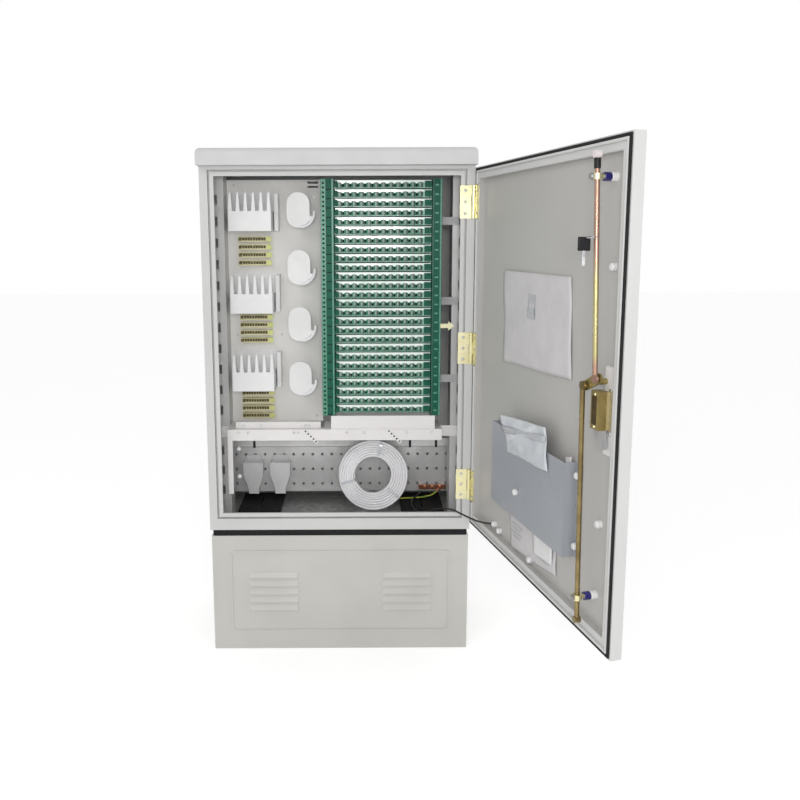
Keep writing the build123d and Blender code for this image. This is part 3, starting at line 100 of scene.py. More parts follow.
def combine(tree, operation, first, second):
    """Sum or difference of two sockets, kept between 0 and 1."""
    node = tree.nodes.new("ShaderNodeMath")
    node.operation = operation
    node.use_clamp = True
    tree.links.new(first, node.inputs[0])
    tree.links.new(second, node.inputs[1])
    return node.outputs["Value"]


def remap(tree, value, low, high, out_low=0.0, out_high=1.0):
    node = tree.nodes.new("ShaderNodeMapRange")
    node.inputs["From Min"].default_value = low
    node.inputs["From Max"].default_value = high
    node.inputs["To Min"].default_value = out_low
    node.inputs["To Max"].default_value = out_high
    tree.links.new(value, node.inputs["Value"])
    return node.outputs["Result"]


def noise(tree, vector, scale, detail=4.0, rough=0.55):
    node = tree.nodes.new("ShaderNodeTexNoise")
    node.inputs["Scale"].default_value = scale
    node.inputs["Detail"].default_value = detail
    node.inputs["Roughness"].default_value = rough
    tree.links.new(vector, node.inputs["Vector"])
    return node.outputs["Fac"]


def blend_colours(tree, factor, first, second):
    """Mix two colours, each a tuple or a socket, by a factor socket."""
    node = tree.nodes.new("ShaderNodeMix")
    node.data_type = "RGBA"
    tree.links.new(factor, node.inputs[0])
    for socket, colour in ((node.inputs[6], first), (node.inputs[7], second)):
        if isinstance(colour, tuple):
            socket.default_value = (*colour, 1.0)
        else:
            tree.links.new(colour, socket)
    return node.outputs[2]


def direct_sight(tree):
    """Light Path switch: 1 for what the camera, a mirror or clear film shows, 0 for light."""
    path = tree.nodes.new("ShaderNodeLightPath")
    total = path.outputs["Is Camera Ray"]
    for ray in ("Is Glossy Ray", "Is Transmission Ray"):
        total = combine(tree, "ADD", total, path.outputs[ray])
    return total


# Camera, light and floor
def make_camera():
    data = bpy.data.cameras.new("camera")
    data.lens = camera_lens
    data.sensor_width = camera_sensor
    data.shift_x, data.shift_y = camera_shift
    camera = bpy.data.objects.new("camera", data)
    camera.location = camera_place
    camera.rotation_euler = [radians(angle) for angle in camera_angles]
    bpy.context.collection.objects.link(camera)
    bpy.context.scene.camera = camera


def make_world():
    """Even white light, and a white backdrop where the world is seen directly."""
    bpy.context.scene.view_settings.view_transform = "Standard"
    world = bpy.data.worlds.new("studio")
    bpy.context.scene.world = world
    world.use_nodes = True
    tree = world.node_tree
    background = tree.nodes["Background"]
    background.inputs["Color"].default_value = (1.0, 1.0, 1.0, 1.0)
    level = remap(tree, direct_sight(tree), 0.0, 1.0, world_light, backdrop_light)
    tree.links.new(level, background.inputs["Strength"])


def area_light(name, place, target, size, power):
    data = bpy.data.lights.new(name, "AREA")
    data.shape = "RECTANGLE"
    data.size, data.size_y = size
    data.energy = power
    lamp = bpy.data.objects.new(name, data)
    lamp.location = place
    aim = Vector(target) - Vector(place)
    lamp.rotation_euler = aim.to_track_quat("-Z", "Y").to_euler()
    bpy.context.collection.objects.link(lamp)


def make_lamps():
    """Soft key and fill, and the flash by the camera that lights the cabinet's inside."""
    area_light("key", place=(-1.6, -3.2, 2.9), target=(0.0, 0.0, 0.8), size=(1.6, 1.2), power=14.0)
    area_light("fill", place=(1.9, -2.9, 1.6), target=(0.1, 0.0, 0.8), size=(1.6, 1.6), power=7.0)
    area_light("flash", place=(0.05, -2.4, 1.30), target=(0.05, 0.0, 0.75), size=(0.5, 0.4), power=13.0)


def make_floor():
    """Pale floor that keeps the shadow and glows only where it is seen directly."""
    mesh = bpy.data.meshes.new("floor")
    shape = bmesh.new()
    bmesh.ops.create_grid(shape, x_segments=1, y_segments=1, size=floor_size)
    shape.to_mesh(mesh)
    shape.free()
    floor = bpy.data.objects.new("floor", mesh)
    bpy.context.collection.objects.link(floor)
    material, tree, shader = new_material("pale_floor")
    shader.inputs["Base Color"].default_value = (floor_tone, floor_tone, floor_tone, 1.0)
    shader.inputs["Roughness"].default_value = floor_roughness
    shader.inputs["Emission Color"].default_value = (1.0, 1.0, 1.0, 1.0)
    glow = remap(tree, direct_sight(tree), 0.0, 1.0, 0.0, floor_glow)
    tree.links.new(glow, shader.inputs["Emission Strength"])
    mesh.materials.append(material)


# Materials
cloud_low, cloud_high = 0.35, 0.65
wide_low, wide_high = 0.3, 0.7
bump_depth = 0.0006
spot_detail, spot_rough, spot_edge = 6.0, 0.65, 0.04


def new_material(name):
    material = bpy.data.materials.new(name)
    material.use_nodes = True
    tree = material.node_tree
    return material, tree, tree.nodes["Principled BSDF"]


def clouds(tree, vector, scale):
    """Soft patches from 0 to 1."""
    return remap(tree, noise(tree, vector, scale), cloud_low, cloud_high)


def surface(
    name, base, second, grain, rough, bump, fine=900.0, metallic=0.0, coat=0.0, specular=0.5, spots=None
):
    """Procedural finish: two tones in patches, a roughness spread, a fine bump and perhaps spots."""
    material, tree, shader = new_material(name)
    vector = coordinates(tree)
    patches = noise(tree, vector, grain)
    colour = blend_colours(tree, remap(tree, patches, cloud_low, cloud_high), base, second)
    if spots is not None:
        spot_colour, spot_scale, spot_level = spots
        specks = noise(tree, vector, spot_scale, spot_detail, spot_rough)
        mask = remap(tree, specks, spot_level, spot_level + spot_edge)
        colour = blend_colours(tree, mask, colour, spot_colour)
    tree.links.new(colour, shader.inputs["Base Color"])
    tree.links.new(remap(tree, patches, wide_low, wide_high, *rough), shader.inputs["Roughness"])
    peel = tree.nodes.new("ShaderNodeBump")
    peel.inputs["Strength"].default_value = bump
    peel.inputs["Distance"].default_value = bump_depth
    tree.links.new(noise(tree, vector, fine, detail=2.0), peel.inputs["Height"])
    tree.links.new(peel.outputs["Normal"], shader.inputs["Normal"])
    shader.inputs["Metallic"].default_value = metallic
    shader.inputs["Coat Weight"].default_value = coat
    shader.inputs["Specular IOR Level"].default_value = specular
    return material


# Paints and sheet metal: name, two tones, grain, roughness spread, bump and its scale
paint = surface(
    "grey_paint", (0.625, 0.625, 0.615), (0.585, 0.585, 0.575), 3.0, (0.38, 0.5), 0.12, 1100.0
)
roof_paint = surface(
    "roof_paint", (0.62, 0.62, 0.62), (0.56, 0.56, 0.56), 5.0, (0.4, 0.55), 0.12, 1100.0
)
plinth_paint = surface(
    "plinth_paint", (0.575, 0.568, 0.535), (0.53, 0.522, 0.49), 4.0, (0.36, 0.5), 0.12, 1100.0,
    spots=((0.36, 0.34, 0.31), 46.0, 0.72),
)
liner_paint = surface(
    "liner_paint", (0.50, 0.487, 0.465), (0.46, 0.447, 0.43), 2.5, (0.3, 0.42), 0.1, 1300.0
)
plate_paint = surface("plate_paint", (0.78, 0.765, 0.74), (0.74, 0.725, 0.70), 4.0, (0.4, 0.55), 0.08)
zinc_sheet = surface(
    "zinc_sheet", (0.34, 0.34, 0.335), (0.24, 0.24, 0.24), 60.0, (0.3, 0.55), 0.05, 500.0, metallic=0.5
)
grey_steel = surface(
    "grey_steel", (0.60, 0.60, 0.595), (0.52, 0.52, 0.515), 12.0, (0.3, 0.45), 0.08, metallic=0.2
)
fixing_steel = surface(
    "fixing_steel", (0.70, 0.695, 0.69), (0.60, 0.595, 0.59), 14.0, (0.28, 0.5), 0.06, 700.0, metallic=0.25
)
white_steel = surface("white_steel", (0.80, 0.78, 0.77), (0.75, 0.73, 0.72), 8.0, (0.35, 0.5), 0.08)
pocket_steel = surface(
    "pocket_steel", (0.36, 0.375, 0.405), (0.33, 0.345, 0.375), 5.0, (0.25, 0.38), 0.05
)

# Metals
yellow_zinc = surface(
    "yellow_zinc", (0.74, 0.69, 0.40), (0.80, 0.75, 0.50), 22.0, (0.2, 0.34), 0.04, 700.0, metallic=0.8
)
bright_steel = surface(
    "bright_steel", (0.62, 0.62, 0.62), (0.45, 0.45, 0.46), 80.0, (0.15, 0.3), 0.04, metallic=1.0
)
copper = surface("copper", (0.62, 0.30, 0.17), (0.48, 0.22, 0.13), 70.0, (0.2, 0.4), 0.05, metallic=0.95)
lock_steel = surface(
    "lock_steel", (0.50, 0.47, 0.38), (0.36, 0.35, 0.31), 60.0, (0.2, 0.4), 0.06, metallic=0.85
)
rod_olive = surface(
    "rod_olive", (0.30, 0.23, 0.10), (0.19, 0.14, 0.06), 30.0, (0.22, 0.34), 0.04, metallic=0.75
)
brass = surface("brass", (0.46, 0.38, 0.15), (0.33, 0.26, 0.10), 24.0, (0.2, 0.34), 0.04, metallic=0.8)

# Plastics and rubber
white_plastic = surface("white_plastic", (0.80, 0.80, 0.80), (0.75, 0.75, 0.75), 14.0, (0.3, 0.45), 0.05)
bobbin_grey = surface("bobbin_grey", (0.78, 0.78, 0.775), (0.73, 0.73, 0.725), 14.0, (0.35, 0.5), 0.05)
funnel_grey = surface("funnel_grey", (0.84, 0.83, 0.83), (0.77, 0.76, 0.76), 20.0, (0.3, 0.45), 0.05)
soft_white = surface(
    "soft_white", (0.93, 0.92, 0.94), (0.86, 0.85, 0.87), 14.0, (0.2, 0.34), 0.05, 600.0, coat=0.5
)
cream_plastic = surface("cream_plastic", (0.76, 0.72, 0.44), (0.68, 0.64, 0.36), 30.0, (0.35, 0.5), 0.05)
tab_green = surface("tab_green", (0.66, 0.70, 0.26), (0.58, 0.63, 0.20), 40.0, (0.35, 0.5), 0.05)
# Dark brown for the painted shade in the parking strips' pockets
pocket_shade = surface(
    "pocket_shade", (0.08, 0.065, 0.03), (0.17, 0.14, 0.07), 220.0, (0.45, 0.6), 0.05, specular=0.2
)
# Dark brown for the painted shade in the lock case's recess
recess_shade_brown = surface(
    "recess_shade_brown", (0.055, 0.035, 0.014), (0.09, 0.06, 0.025), 60.0, (0.4, 0.55), 0.05, specular=0.25
)
# Dark green of the tray ends; on the rack's channels it is also painted shade
dark_green_and_channel_shade = surface(
    "dark_green_and_channel_shade", (0.004, 0.085, 0.05), (0.010, 0.11, 0.07), 90.0, (0.4, 0.55), 0.05, specular=0.2
)
mid_green = surface(
    "mid_green", (0.06, 0.25, 0.165), (0.12, 0.34, 0.24), 160.0, (0.25, 0.4), 0.05, specular=0.35
)
pale_cover = surface(
    "pale_cover", (0.70, 0.84, 0.76), (0.88, 0.94, 0.90), 24.0, (0.12, 0.25), 0.03, coat=0.6
)
tray_plastic = surface(
    "tray_plastic", (0.20, 0.40, 0.31), (0.30, 0.50, 0.41), 45.0, (0.25, 0.4), 0.05, coat=0.2
)
navy_plastic = surface(
    "navy_plastic", (0.012, 0.010, 0.11), (0.02, 0.018, 0.17), 60.0, (0.15, 0.3), 0.03, coat=0.5
)
black_plastic = surface(
    "black_plastic", (0.008, 0.008, 0.009), (0.016, 0.016, 0.017), 50.0, (0.35, 0.5), 0.1, specular=0.25
)
black_rubber = surface(
    "black_rubber", (0.010, 0.010, 0.011), (0.02, 0.02, 0.021), 60.0, (0.6, 0.8), 0.2, 1400.0, specular=0.2
)
# Black for painted shade: discs and slots of it stand where holes are not cut
hole_shade = surface(
    "hole_shade", (0.006, 0.009, 0.007), (0.012, 0.016, 0.013), 60.0, (0.6, 0.8), 0.05, specular=0.2
)
lead_black = surface("lead_black", (0.012, 0.012, 0.012), (0.03, 0.03, 0.03), 80.0, (0.3, 0.45), 0.08)

# Paper and film
paper = surface("paper", (0.62, 0.60, 0.605), (0.57, 0.55, 0.56), 16.0, (0.5, 0.7), 0.1, 260.0)
print_grey = surface("print_grey", (0.43, 0.44, 0.46), (0.52, 0.53, 0.55), 120.0, (0.5, 0.7), 0.05)
pouch_film = surface(
    "pouch_film", (0.66, 0.69, 0.72), (0.55, 0.58, 0.62), 26.0, (0.08, 0.22), 0.25, 90.0, coat=0.7
)
tag_yellow = surface("tag_yellow", (0.86, 0.83, 0.56), (0.80, 0.76, 0.46), 30.0, (0.4, 0.55), 0.05)


def rod_finish():
    """Upper rod: copper plating, yellow along its middle, with a white plastic cap."""
    yellow_bottom, yellow_top, cap_bottom = (0.95, 0.97), (1.10, 1.16), (1.3280, 1.3284)
    material, tree, shader = new_material("rod_copper")
    vector = coordinates(tree)
    height = height_of(tree, vector)
    above = remap(tree, height, *yellow_top)
    below = remap(tree, height, *reversed(yellow_bottom))
    patches = clouds(tree, vector, 14.0)
    copper_tone = blend_colours(tree, patches, (0.40, 0.24, 0.18), (0.47, 0.29, 0.22))
    yellow_tone = blend_colours(tree, patches, (0.50, 0.45, 0.22), (0.43, 0.36, 0.17))
    colour = blend_colours(tree, combine(tree, "ADD", above, below), yellow_tone, copper_tone)
    cap = remap(tree, height, *cap_bottom)
    tree.links.new(blend_colours(tree, cap, colour, (0.74, 0.66, 0.67)), shader.inputs["Base Color"])
    tree.links.new(remap(tree, patches, 0.0, 1.0, 0.26, 0.36), shader.inputs["Roughness"])
    tree.links.new(remap(tree, cap, 0.0, 1.0, 0.75, 0.0), shader.inputs["Metallic"])
    return material


def stripe_finish():
    """Yellow insulation with a green stripe."""
    stripe_scale = 62.0
    material, tree, shader = new_material("yellow_green_lead")
    vector = coordinates(tree)
    wave = tree.nodes.new("ShaderNodeTexWave")
    wave.bands_direction = "Z"
    wave.inputs["Scale"].default_value = stripe_scale
    tree.links.new(vector, wave.inputs["Vector"])
    mask = remap(tree, wave.outputs["Fac"], 0.45, 0.55)
    colour = blend_colours(tree, mask, (0.10, 0.30, 0.05), (0.72, 0.66, 0.06))
    tree.links.new(colour, shader.inputs["Base Color"])
    spread = remap(tree, noise(tree, vector, 80.0), wide_low, wide_high, 0.35, 0.5)
    tree.links.new(spread, shader.inputs["Roughness"])
    return material


def zoned_finish(name, direction, level, near, far, metallic=0.0, tip=None):
    """Finish that changes at a level along a direction, with a bare tip below a height."""
    edge = 0.0002
    material, tree, shader = new_material(name)
    vector = coordinates(tree)
    product = tree.nodes.new("ShaderNodeVectorMath")
    product.operation = "DOT_PRODUCT"
    product.inputs[1].default_value = direction
    tree.links.new(vector, product.inputs[0])
    past = remap(tree, product.outputs["Value"], level - edge, level + edge)
    patches = clouds(tree, vector, 30.0)
    near_tone = blend_colours(tree, patches, *near)
    far_tone = blend_colours(tree, patches, *far)
    colour = blend_colours(tree, past, near_tone, far_tone)
    if tip is not None:
        height, tone = tip
        below = remap(tree, height_of(tree, vector), height, height - 2 * edge)
        colour = blend_colours(tree, combine(tree, "SUBTRACT", below, past), colour, tone)
    tree.links.new(colour, shader.inputs["Base Color"])
    tree.links.new(remap(tree, patches, 0.0, 1.0, 0.3, 0.45), shader.inputs["Roughness"])
    shader.inputs["Metallic"].default_value = metallic
    shader.inputs["Specular IOR Level"].default_value = 0.3
    return material


rack_green = zoned_finish(
    "rack_green", direction=(1.0, 0.0, 0.0), level=0.2872,
    near=((0.035, 0.135, 0.095), (0.02, 0.09, 0.06)),
    far=((0.50, 0.50, 0.50), (0.42, 0.42, 0.42)),
)
lock_case = zoned_finish(
    "lock_case", direction=tuple(door_outward), level=hinge_place.dot(door_outward) + 0.0146,
    near=((0.42, 0.33, 0.13), (0.28, 0.21, 0.08)),
    far=((0.74, 0.74, 0.73), (0.68, 0.68, 0.67)),
    metallic=0.5, tip=(0.8215, (0.50, 0.50, 0.51)),
)
rod_copper = rod_finish()
yellow_green = stripe_finish()

node_finishes = {
    "plinth_box": plinth_paint,
    "plinth_front_panel": plinth_paint,
    "rubber_seals": black_rubber,
    "body_shell": paint,
    "floor_panel": zinc_sheet,
    "front_frame": paint,
    "roof_cap": roof_paint,
    "mounting_frame": grey_steel,
    "mounting_plate": plate_paint,
    "fibre_combs": white_plastic,
    "parking_holders": cream_plastic,
    "storage_bobbins": bobbin_grey,
    "rack_frame": rack_green,
    "cross_beam": white_steel,
    "cable_fixing_plate": fixing_steel,
    "earth_bar": copper,
    "frame_hinges": yellow_zinc,
    "door_panel": paint,
    "door_liner": liner_paint,
    "door_hinges": yellow_zinc,
    "lock_box": lock_case,
    "lock_cam": brass,
    "swing_handle": lock_steel,
    "upper_rod": rod_copper,
    "lower_rod": rod_olive,
    "door_nuts": white_plastic,
    "document_pocket": pocket_steel,
}
node_finishes.update({node: tray_plastic for node in tray_nodes})


def finish_node(node, material):
    """Give a CAD node a finish through its material slots."""
    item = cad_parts[node]
    if not item.material_slots:
        item.data.materials.append(material)
    for slot in item.material_slots:
        slot.link = "OBJECT"
        slot.material = material


# Mesh helpers
sharp_angle = radians(40)


def add_box(shape, centre, size, turn=0.0):
    """Box in a bmesh, turned about Z."""
    matrix = Matrix.Translation(centre) @ Matrix.Rotation(turn, 4, "Z")
    bmesh.ops.create_cube(shape, size=1.0, matrix=matrix @ Matrix.Diagonal((*size, 1.0)))


def add_round(shape, start, end, radius, end_radius=None, segments=20):
    """Round bar or cone between two points."""
    start, end = Vector(start), Vector(end)
    line = end - start
    bmesh.ops.create_cone(
        shape,
        cap_ends=True,
        segments=segments,
        radius1=radius,
        radius2=radius if end_radius is None else end_radius,
        depth=line.length,
        matrix=facing((start + end) / 2, line),
    )


def join_loops(shape, loops, closed=False):
    """Faces from each loop to the next, and from the last to the first where closed."""
    following_loops = loops[1:] + loops[:1] if closed else loops[1:]
    for one, two in zip(loops, following_loops):
        for step in range(len(one)):
            following = (step + 1) % len(one)
            shape.faces.new((one[step], one[following], two[following], two[step]))


def circle_points(segments):
    """Unit circle as pairs of cosine and sine."""
    return [(cos(2 * pi * step / segments), sin(2 * pi * step / segments)) for step in range(segments)]


def facing(place, axis):
    """Matrix that puts Z along an axis at a place."""
    return Matrix.Translation(place) @ Vector(axis).to_track_quat("Z", "Y").to_matrix().to_4x4()


def circle_loop(shape, matrix, radius, level, segments):
    """Vertices of a circle at a level."""
    unit = circle_points(segments)
    return [shape.verts.new(matrix @ Vector((radius * x, radius * y, level))) for x, y in unit]


def add_ring(shape, centre, axis, outer, inner, height, segments=28):
    """Flat washer or tube section."""
    matrix = facing(centre, axis)
    loops = [
        circle_loop(shape, matrix, radius, level, segments)
        for radius, level in ((outer, 0.0), (outer, height), (inner, height), (inner, 0.0))
    ]
    join_loops(shape, loops, closed=True)


def add_dome(shape, base, axis, radius, height, segments=20, rings=5):
    """Rounded cap on a base circle."""
    matrix = facing(base, axis)
    loops = []
    for ring in range(rings):
        angle = pi / 2 * ring / rings
        loops.append(circle_loop(shape, matrix, radius * cos(angle), height * sin(angle), segments))
    top = shape.verts.new(matrix @ Vector((0, 0, height)))
    shape.faces.new(list(reversed(loops[0])))
    join_loops(shape, loops)
    for step in range(segments):
        shape.faces.new((loops[-1][step], loops[-1][(step + 1) % segments], top))


def smooth_mesh(mesh):
    """Smooth faces with sharp edges kept above the sharp angle."""
    mesh.polygons.foreach_set("use_smooth", [True] * len(mesh.polygons))
    mesh.set_sharp_from_angle(angle=sharp_angle)


def make_piece(name, shape, material, body="root", matrix=None, bevel=0.0):
    """Turn a bmesh into a piece that rides on a body."""
    bmesh.ops.recalc_face_normals(shape, faces=shape.faces)
    if matrix is not None:
        shape.transform(matrix)
    mesh = bpy.data.meshes.new(name)
    shape.to_mesh(mesh)
    shape.free()
    mesh.materials.append(material)
    piece = bpy.data.objects.new(name, mesh)
    bpy.context.collection.objects.link(piece)
    if bevel:
        edge = piece.modifiers.new("bevel", "BEVEL")
        edge.width = bevel
        edge.segments = 2
        edge.limit_method = "ANGLE"
    smooth_mesh(mesh)
    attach(piece, body)
    return piece


def on_door(along, stand_off, height):
    """Place in door coordinates: stand_off is measured from the liner into the cabinet."""
    return Vector((along, -stand_off, height))


def make_door_piece(name, shape, material, bevel=0.0, body="door"):
    """Piece whose bmesh is in door coordinates."""
    return make_piece(name, shape, material, body, door_matrix, bevel)


# Cords
lead_radius = 0.0025
inner_lead_route = (
    (0.2984, 0.0668, 0.3974),
    (0.2864, 0.0668, 0.3854),
    (0.262, 0.069, 0.3785),
    (0.231, 0.066, 0.377),
    (0.192, 0.061, 0.3765),
    (0.158, 0.064, 0.372),
    (0.124, 0.071, 0.3705),
    (0.088, 0.071, 0.370),
)
door_lead_route = (
    (0.2504, 0.0668, 0.3974),
    (0.2394, 0.0668, 0.3864),
    (0.224, 0.052, 0.3785),
    (0.216, 0.022, 0.3765),
    (0.215, -0.014, 0.377),
    (0.224, -0.052, 0.3745),
    (0.243, -0.086, 0.3855),
    (0.270, -0.115, 0.4035),
    (0.296, -0.142, 0.4185),
    (0.319, -0.169, 0.424),
    (0.340, -0.198, 0.4225),
    (0.361, -0.231, 0.4215),
    (0.380, -0.261, 0.4235),
    (0.396, -0.285, 0.4285),
    (0.4064, -0.3006, 0.434),
)


def route_curve(name, points, radius):
    """Smooth spline through the pull of its control points."""
    data = bpy.data.curves.new(name, "CURVE")
    data.dimensions = "3D"
    data.bevel_depth = radius
    data.bevel_resolution = 4
    data.resolution_u = 6
    data.use_fill_caps = True
    spline = data.splines.new("NURBS")
    spline.points.add(len(points) - 1)
    for target, point in zip(spline.points, points):
        target.co = (*point, 1.0)
    spline.order_u = 3
    spline.use_endpoint_u = True
    curve = bpy.data.objects.new(name, data)
    bpy.context.collection.objects.link(curve)
    return curve


def mesh_of(curve):
    """Mesh of a curve as it is shown."""
    bpy.context.view_layer.update()
    return bpy.data.meshes.new_from_object(curve.evaluated_get(bpy.context.evaluated_depsgraph_get()))


def read_line(curve):
    """Points of a curve's own line, and its length."""
    depth = curve.data.bevel_depth
    curve.data.bevel_depth = 0.0
    line = mesh_of(curve)
    points = [vertex.co.copy() for vertex in line.vertices]
    bpy.data.meshes.remove(line)
    curve.data.bevel_depth = depth
    return points, sum((b - a).length for a, b in zip(points, points[1:]))


def make_inner_lead():
    """Yellow-green lead from the earth bar along the floor."""
    inner = route_curve("inner_lead", inner_lead_route, lead_radius)
    inner.data.materials.append(yellow_green)
    length = read_line(inner)[1]
    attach(inner, "root")
    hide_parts("inner_earth_lead")


def make_door_lead():
    """Black lead from the earth bar to the door."""
    source = route_curve("door_lead_route", door_lead_route, lead_radius)
    path, length = read_line(source)
    tube = mesh_of(source)
    bpy.data.objects.remove(source)
    tube.materials.clear()
    tube.materials.append(lead_black)
    lead = bpy.data.objects.new("door_lead", tube)
    bpy.context.collection.objects.link(lead)
    smooth_mesh(tube)
    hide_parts("door_earth_lead")
    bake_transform(lead)


# Coil of spare tube, which leans back on the rail
coil_tube = 0.0076
coil_spacing = 0.0074
coil_rows = 4
coil_columns = 7
coil_steps = 16
coil_mean_radius = 0.081
coil_wander = 0.0003
coil_first_angle = radians(200.0)
coil_lean = radians(12.0)
coil_side = Vector((1, 0, 0))
coil_up = Vector((0, sin(coil_lean), cos(coil_lean)))
coil_axis = Vector((0, -cos(coil_lean), sin(coil_lean)))
band_angles = (radians(75.0), radians(195.0), radians(318.0))
band_half_wide = 0.0266
band_half_deep = 0.0166
band_half_long = 0.004
band_steps = 24


def coil_cells():
    """Turn by turn places in the coil's section, row after row and back."""
    cells = []
    for row in range(coil_rows):
        columns = range(coil_columns) if row % 2 == 0 else reversed(range(coil_columns))
        for column in columns:
            cells.append((
                (column - (coil_columns - 1) / 2) * coil_spacing,
                (row - (coil_rows - 1) / 2) * coil_spacing,
                row,
            ))
    return cells


def coil_points(centre):
    """Points of the coil's route: every turn shifts by one place, the last rows first."""
    cells = coil_cells()
    stages = 2 * coil_rows - 1
    points = []
    for index, (radial, axial, row) in enumerate(cells):
        following = cells[min(index + 1, len(cells) - 1)]
        stage = 2 * (coil_rows - 1 - row) - (1 if following[2] != row else 0)
        for step in range(coil_steps):
            share = step / coil_steps
            shift = min(max(share * stages - stage, 0.0), 1.0)
            shift = shift * shift * (3 - 2 * shift)
            angle = 2 * pi * share + coil_first_angle
            radius = coil_mean_radius + radial + (following[0] - radial) * shift
            radius += coil_wander * sin(3 * angle + index)
            level = axial + (following[1] - axial) * shift
            points.append(
                centre + coil_side * radius * cos(angle) + coil_up * radius * sin(angle) - coil_axis * level
            )
    return points


def make_coil_bands(centre):
    """Clear bands that hold the turns together, as rounded squares around the coil's section."""
    shape = bmesh.new()
    for angle in band_angles:
        outward = (coil_side * cos(angle) + coil_up * sin(angle)).normalized()
        around = (coil_side * -sin(angle) + coil_up * cos(angle)).normalized()
        place = centre + coil_side * coil_mean_radius * cos(angle) + coil_up * coil_mean_radius * sin(angle)
        loops = []
        for along in (-band_half_long, band_half_long):
            loop = []
            for x, y in circle_points(band_steps):
                reach = (abs(x / band_half_wide) ** 4 + abs(y / band_half_deep) ** 4) ** -0.25
                point = place + around * along + outward * reach * x + coil_axis * reach * y
                loop.append(shape.verts.new(point))
            loops.append(loop)
        join_loops(shape, loops)
    return make_piece("coil_bands", shape, pouch_film)


def make_coil():
    """Spare loose tube in one coil, with its bands."""
    low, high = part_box("tube_coil")
    centre = (low + high) / 2
    points = coil_points(centre)
    coil = route_curve("coil_tube", [tuple(p) for p in points], coil_tube / 2)
    coil.data.materials.append(soft_white)
    length = read_line(coil)[1]
    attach(coil, "root")
    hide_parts("tube_coil")
    bands = make_coil_bands(centre)


# Trays
port_count = 13
port_pitch = 0.0203
port_first = 0.01175
port_turn = radians(-30.0)
port_facing = Vector((sin(port_turn), -cos(port_turn), 0.0))
port_inset = 0.015
port_rise = 0.0062
port_reach = 0.0131
tray_floor = 0.0016


def add_port(ports, holes, cover, centre):
    """Square port with its round lip, a black plug of painted shade for its hole, and the cover's rib
    beside it.
    """
    body_size, rib_size = (0.0115, 0.006, 0.0125), (0.0022, 0.010, 0.011)
    lip_outer, lip_inner, lip_deep, hole_radius = 0.0056, 0.0042, 0.0022, 0.0043
    add_box(ports, centre - port_facing * 0.002, body_size, port_turn)
    add_ring(ports, centre + port_facing * 0.0008, port_facing, lip_outer, lip_inner, lip_deep, segments=14)
    add_round(holes, centre + port_facing * 0.0004, centre + port_facing * 0.0018, hole_radius, segments=12)
    add_box(cover, centre + Vector((0.009, 0.004, 0.001)), rib_size, port_turn)


def add_scallops(shape, left, right, face, base):
    """Cover lip whose lower edge arches over each port."""
    steps_per_arch = 6
    lip_low, arch_rise, arch_power = 0.0098, 0.0048, 0.6
    lip_top, lip_deep, top_slope, low_slope = 0.0202, 0.016, 0.0008, 0.0022
    steps = port_count * steps_per_arch
    rows = []
    for step in range(steps + 1):
        x = left + (right - left) * step / steps
        low = base + lip_low + arch_rise * abs(sin(pi * step / steps_per_arch)) ** arch_power
        top, back = base + lip_top, face + lip_deep
        corners = ((face, low), (face, top), (back, top + top_slope), (back, low + low_slope))
        rows.append([shape.verts.new((x, y, z)) for y, z in corners])
    join_loops(shape, rows)
    shape.faces.new(rows[0])
    shape.faces.new(list(reversed(rows[-1])))


def make_tray_front(node):
    """Ports, a scalloped cover lip and end blocks on one tray."""
    low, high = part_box(node)
    base, face = low.z + tray_floor, low.y
    body = node + "_body"
    ports, holes, cover, ends = bmesh.new(), bmesh.new(), bmesh.new(), bmesh.new()
    for port in range(port_count):
        x = low.x + port_first + port * port_pitch
        centre = Vector((x, face + port_inset, base + port_rise)) + port_facing * port_reach
        add_port(ports, holes, cover, centre)
    add_scallops(cover, low.x + 0.003, high.x - 0.001, face + 0.0005, base)
    for x, wide in ((low.x + 0.0048, 0.0095), (high.x - 0.0100, 0.0195)):
        add_box(ends, (x, face - 0.001, base + 0.009), (wide, 0.006, 0.017))
        add_box(ends, (x, face - 0.006, base + 0.012), (0.005, 0.007, 0.006))
    make_piece(node + "_ports", ports, mid_green, body)
    # Painted shade in each port's hole
    make_piece(node + "_holes", holes, hole_shade, body)
    make_piece(node + "_cover", cover, pale_cover, body)
    make_piece(node + "_ends", ends, dark_green_and_channel_shade, body, bevel=0.0006)


